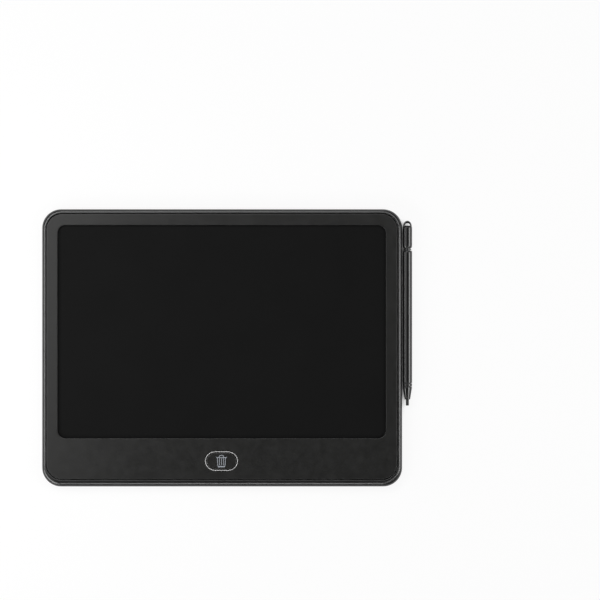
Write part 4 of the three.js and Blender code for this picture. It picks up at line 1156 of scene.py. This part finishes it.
world = bpy.data.worlds.new("studio")
bpy.context.scene.world = world
world.use_nodes = True
tree = world.node_tree
tree.nodes.clear()
rays = tree.nodes.new("ShaderNodeLightPath").outputs
place = tree.nodes.new("ShaderNodeTexCoord")
parts = wired(tree, "ShaderNodeSeparateXYZ", [("Vector", place.outputs["Generated"])])
height = parts.outputs["Z"]
upper = (*BACKDROP_HEIGHTS, BACKDROP, CEILING)
level = mapped(tree, height, upper, interpolation_type="SMOOTHSTEP")
below = mapped(tree, height, (*UNDERSIDE_HEIGHTS, UNDERSIDE, BACKDROP))
lower = wired(tree, "ShaderNodeMath", [(0, level), (1, below)], operation="MINIMUM")
room = wired(tree, "ShaderNodeBackground", [("Color", lower.outputs[0])])
white = wired(tree, "ShaderNodeBackground", [("Color", WHITE), ("Strength", 1.0)])
both = wired(tree, "ShaderNodeMixShader", [
    ("Fac", rays["Is Camera Ray"]),
    (1, room.outputs["Background"]),
    (2, white.outputs["Background"]),
])
wired(tree, "ShaderNodeOutputWorld", [("Surface", both.outputs["Shader"])])


STRIP_DISTANCE = 0.9
MIDDLE = (0, 0, 0)


def softbox(name, place, target, size, level, twist=0.0):
    """A soft lamp whose own brightness is level, where 1 is white."""
    lamp = bpy.data.lights.new(name, "AREA")
    lamp.shape = "RECTANGLE"
    lamp.size, lamp.size_y = size
    lamp.energy = math.pi * size[0] * size[1] * level
    lamp_object = bpy.data.objects.new(name, lamp)
    lamp_object.location = place
    facing = (Vector(target) - Vector(place)).to_track_quat("-Z", "Y").to_euler()
    facing.z += math.radians(twist)
    lamp_object.rotation_euler = facing
    lamp_object.visible_camera = False
    bpy.context.scene.collection.objects.link(lamp_object)


def strip(name, azimuth, zenith, size, level):
    """A softbox aimed at the middle of the tablet, from an azimuth and an angle off the vertical."""
    c, s = turn(azimuth)
    up, out = turn(zenith)
    place = (STRIP_DISTANCE * out * c, STRIP_DISTANCE * out * s, STRIP_DISTANCE * up)
    softbox(name, place, MIDDLE, size, level)


# Each lamp with its place in metres, what it is aimed at, its size and its level
softbox("overhead_left", (-0.23, 0.11, 0.40), (-0.23, 0.11, 0), (0.32, 0.46), 0.82, twist=-18)
softbox("right", (0.71, -0.12, 0.53), (0, -0.12, 0), (0.50, 0.24), 5.0)
softbox("left", (-0.246, 0, 0.134), (-0.097, 0, 0), (0.18, 0.06), 4.7)

# Each strip with its azimuth, its angle off the vertical, its size and its level
strip("far", 90, 39, (0.3, 0.56), 2.35)
strip("near", 270, 53, (0.3, 0.13), 4.9)
strip("near_left", 225, 60, (0.84, 0.13), 8.2)
strip("far_left", 135, 38, (0.60, 0.14), 6.2)
strip("far_right", 45, 38, (0.60, 0.14), 4.4)
strip("near_right", 315, 40, (0.62, 0.10), 3.1)
strip("right_low", 0, 76, (0.36, 0.2), 1.5)

# Below, for views of the back
softbox("under_left", (-0.35, 0.2, -0.6), MIDDLE, (0.4, 0.3), 2.5)
softbox("under_right", (0.4, -0.3, -0.5), MIDDLE, (0.3, 0.2), 2.0)

# Camera: straight down, as the photograph was taken, over the middle of its frame
CAMERA_HEIGHT = 3.0
CAMERA_MIDDLE = (0.04282, 0.02632)
CAMERA_CLIP = (0.1, 20)
VIEW_WIDTH = 0.33
SENSOR = 36.0

camera = bpy.data.cameras.new("camera")
camera.sensor_width = SENSOR
camera.lens = SENSOR * CAMERA_HEIGHT / VIEW_WIDTH
camera.clip_start, camera.clip_end = CAMERA_CLIP
camera_object = bpy.data.objects.new("camera", camera)
camera_object.location = (*CAMERA_MIDDLE, CAMERA_HEIGHT + (CASE_TOP - RIM_FALL) * MM)
bpy.context.scene.collection.objects.link(camera_object)
bpy.context.scene.camera = camera_object
bpy.context.scene.view_settings.view_transform = "Standard"
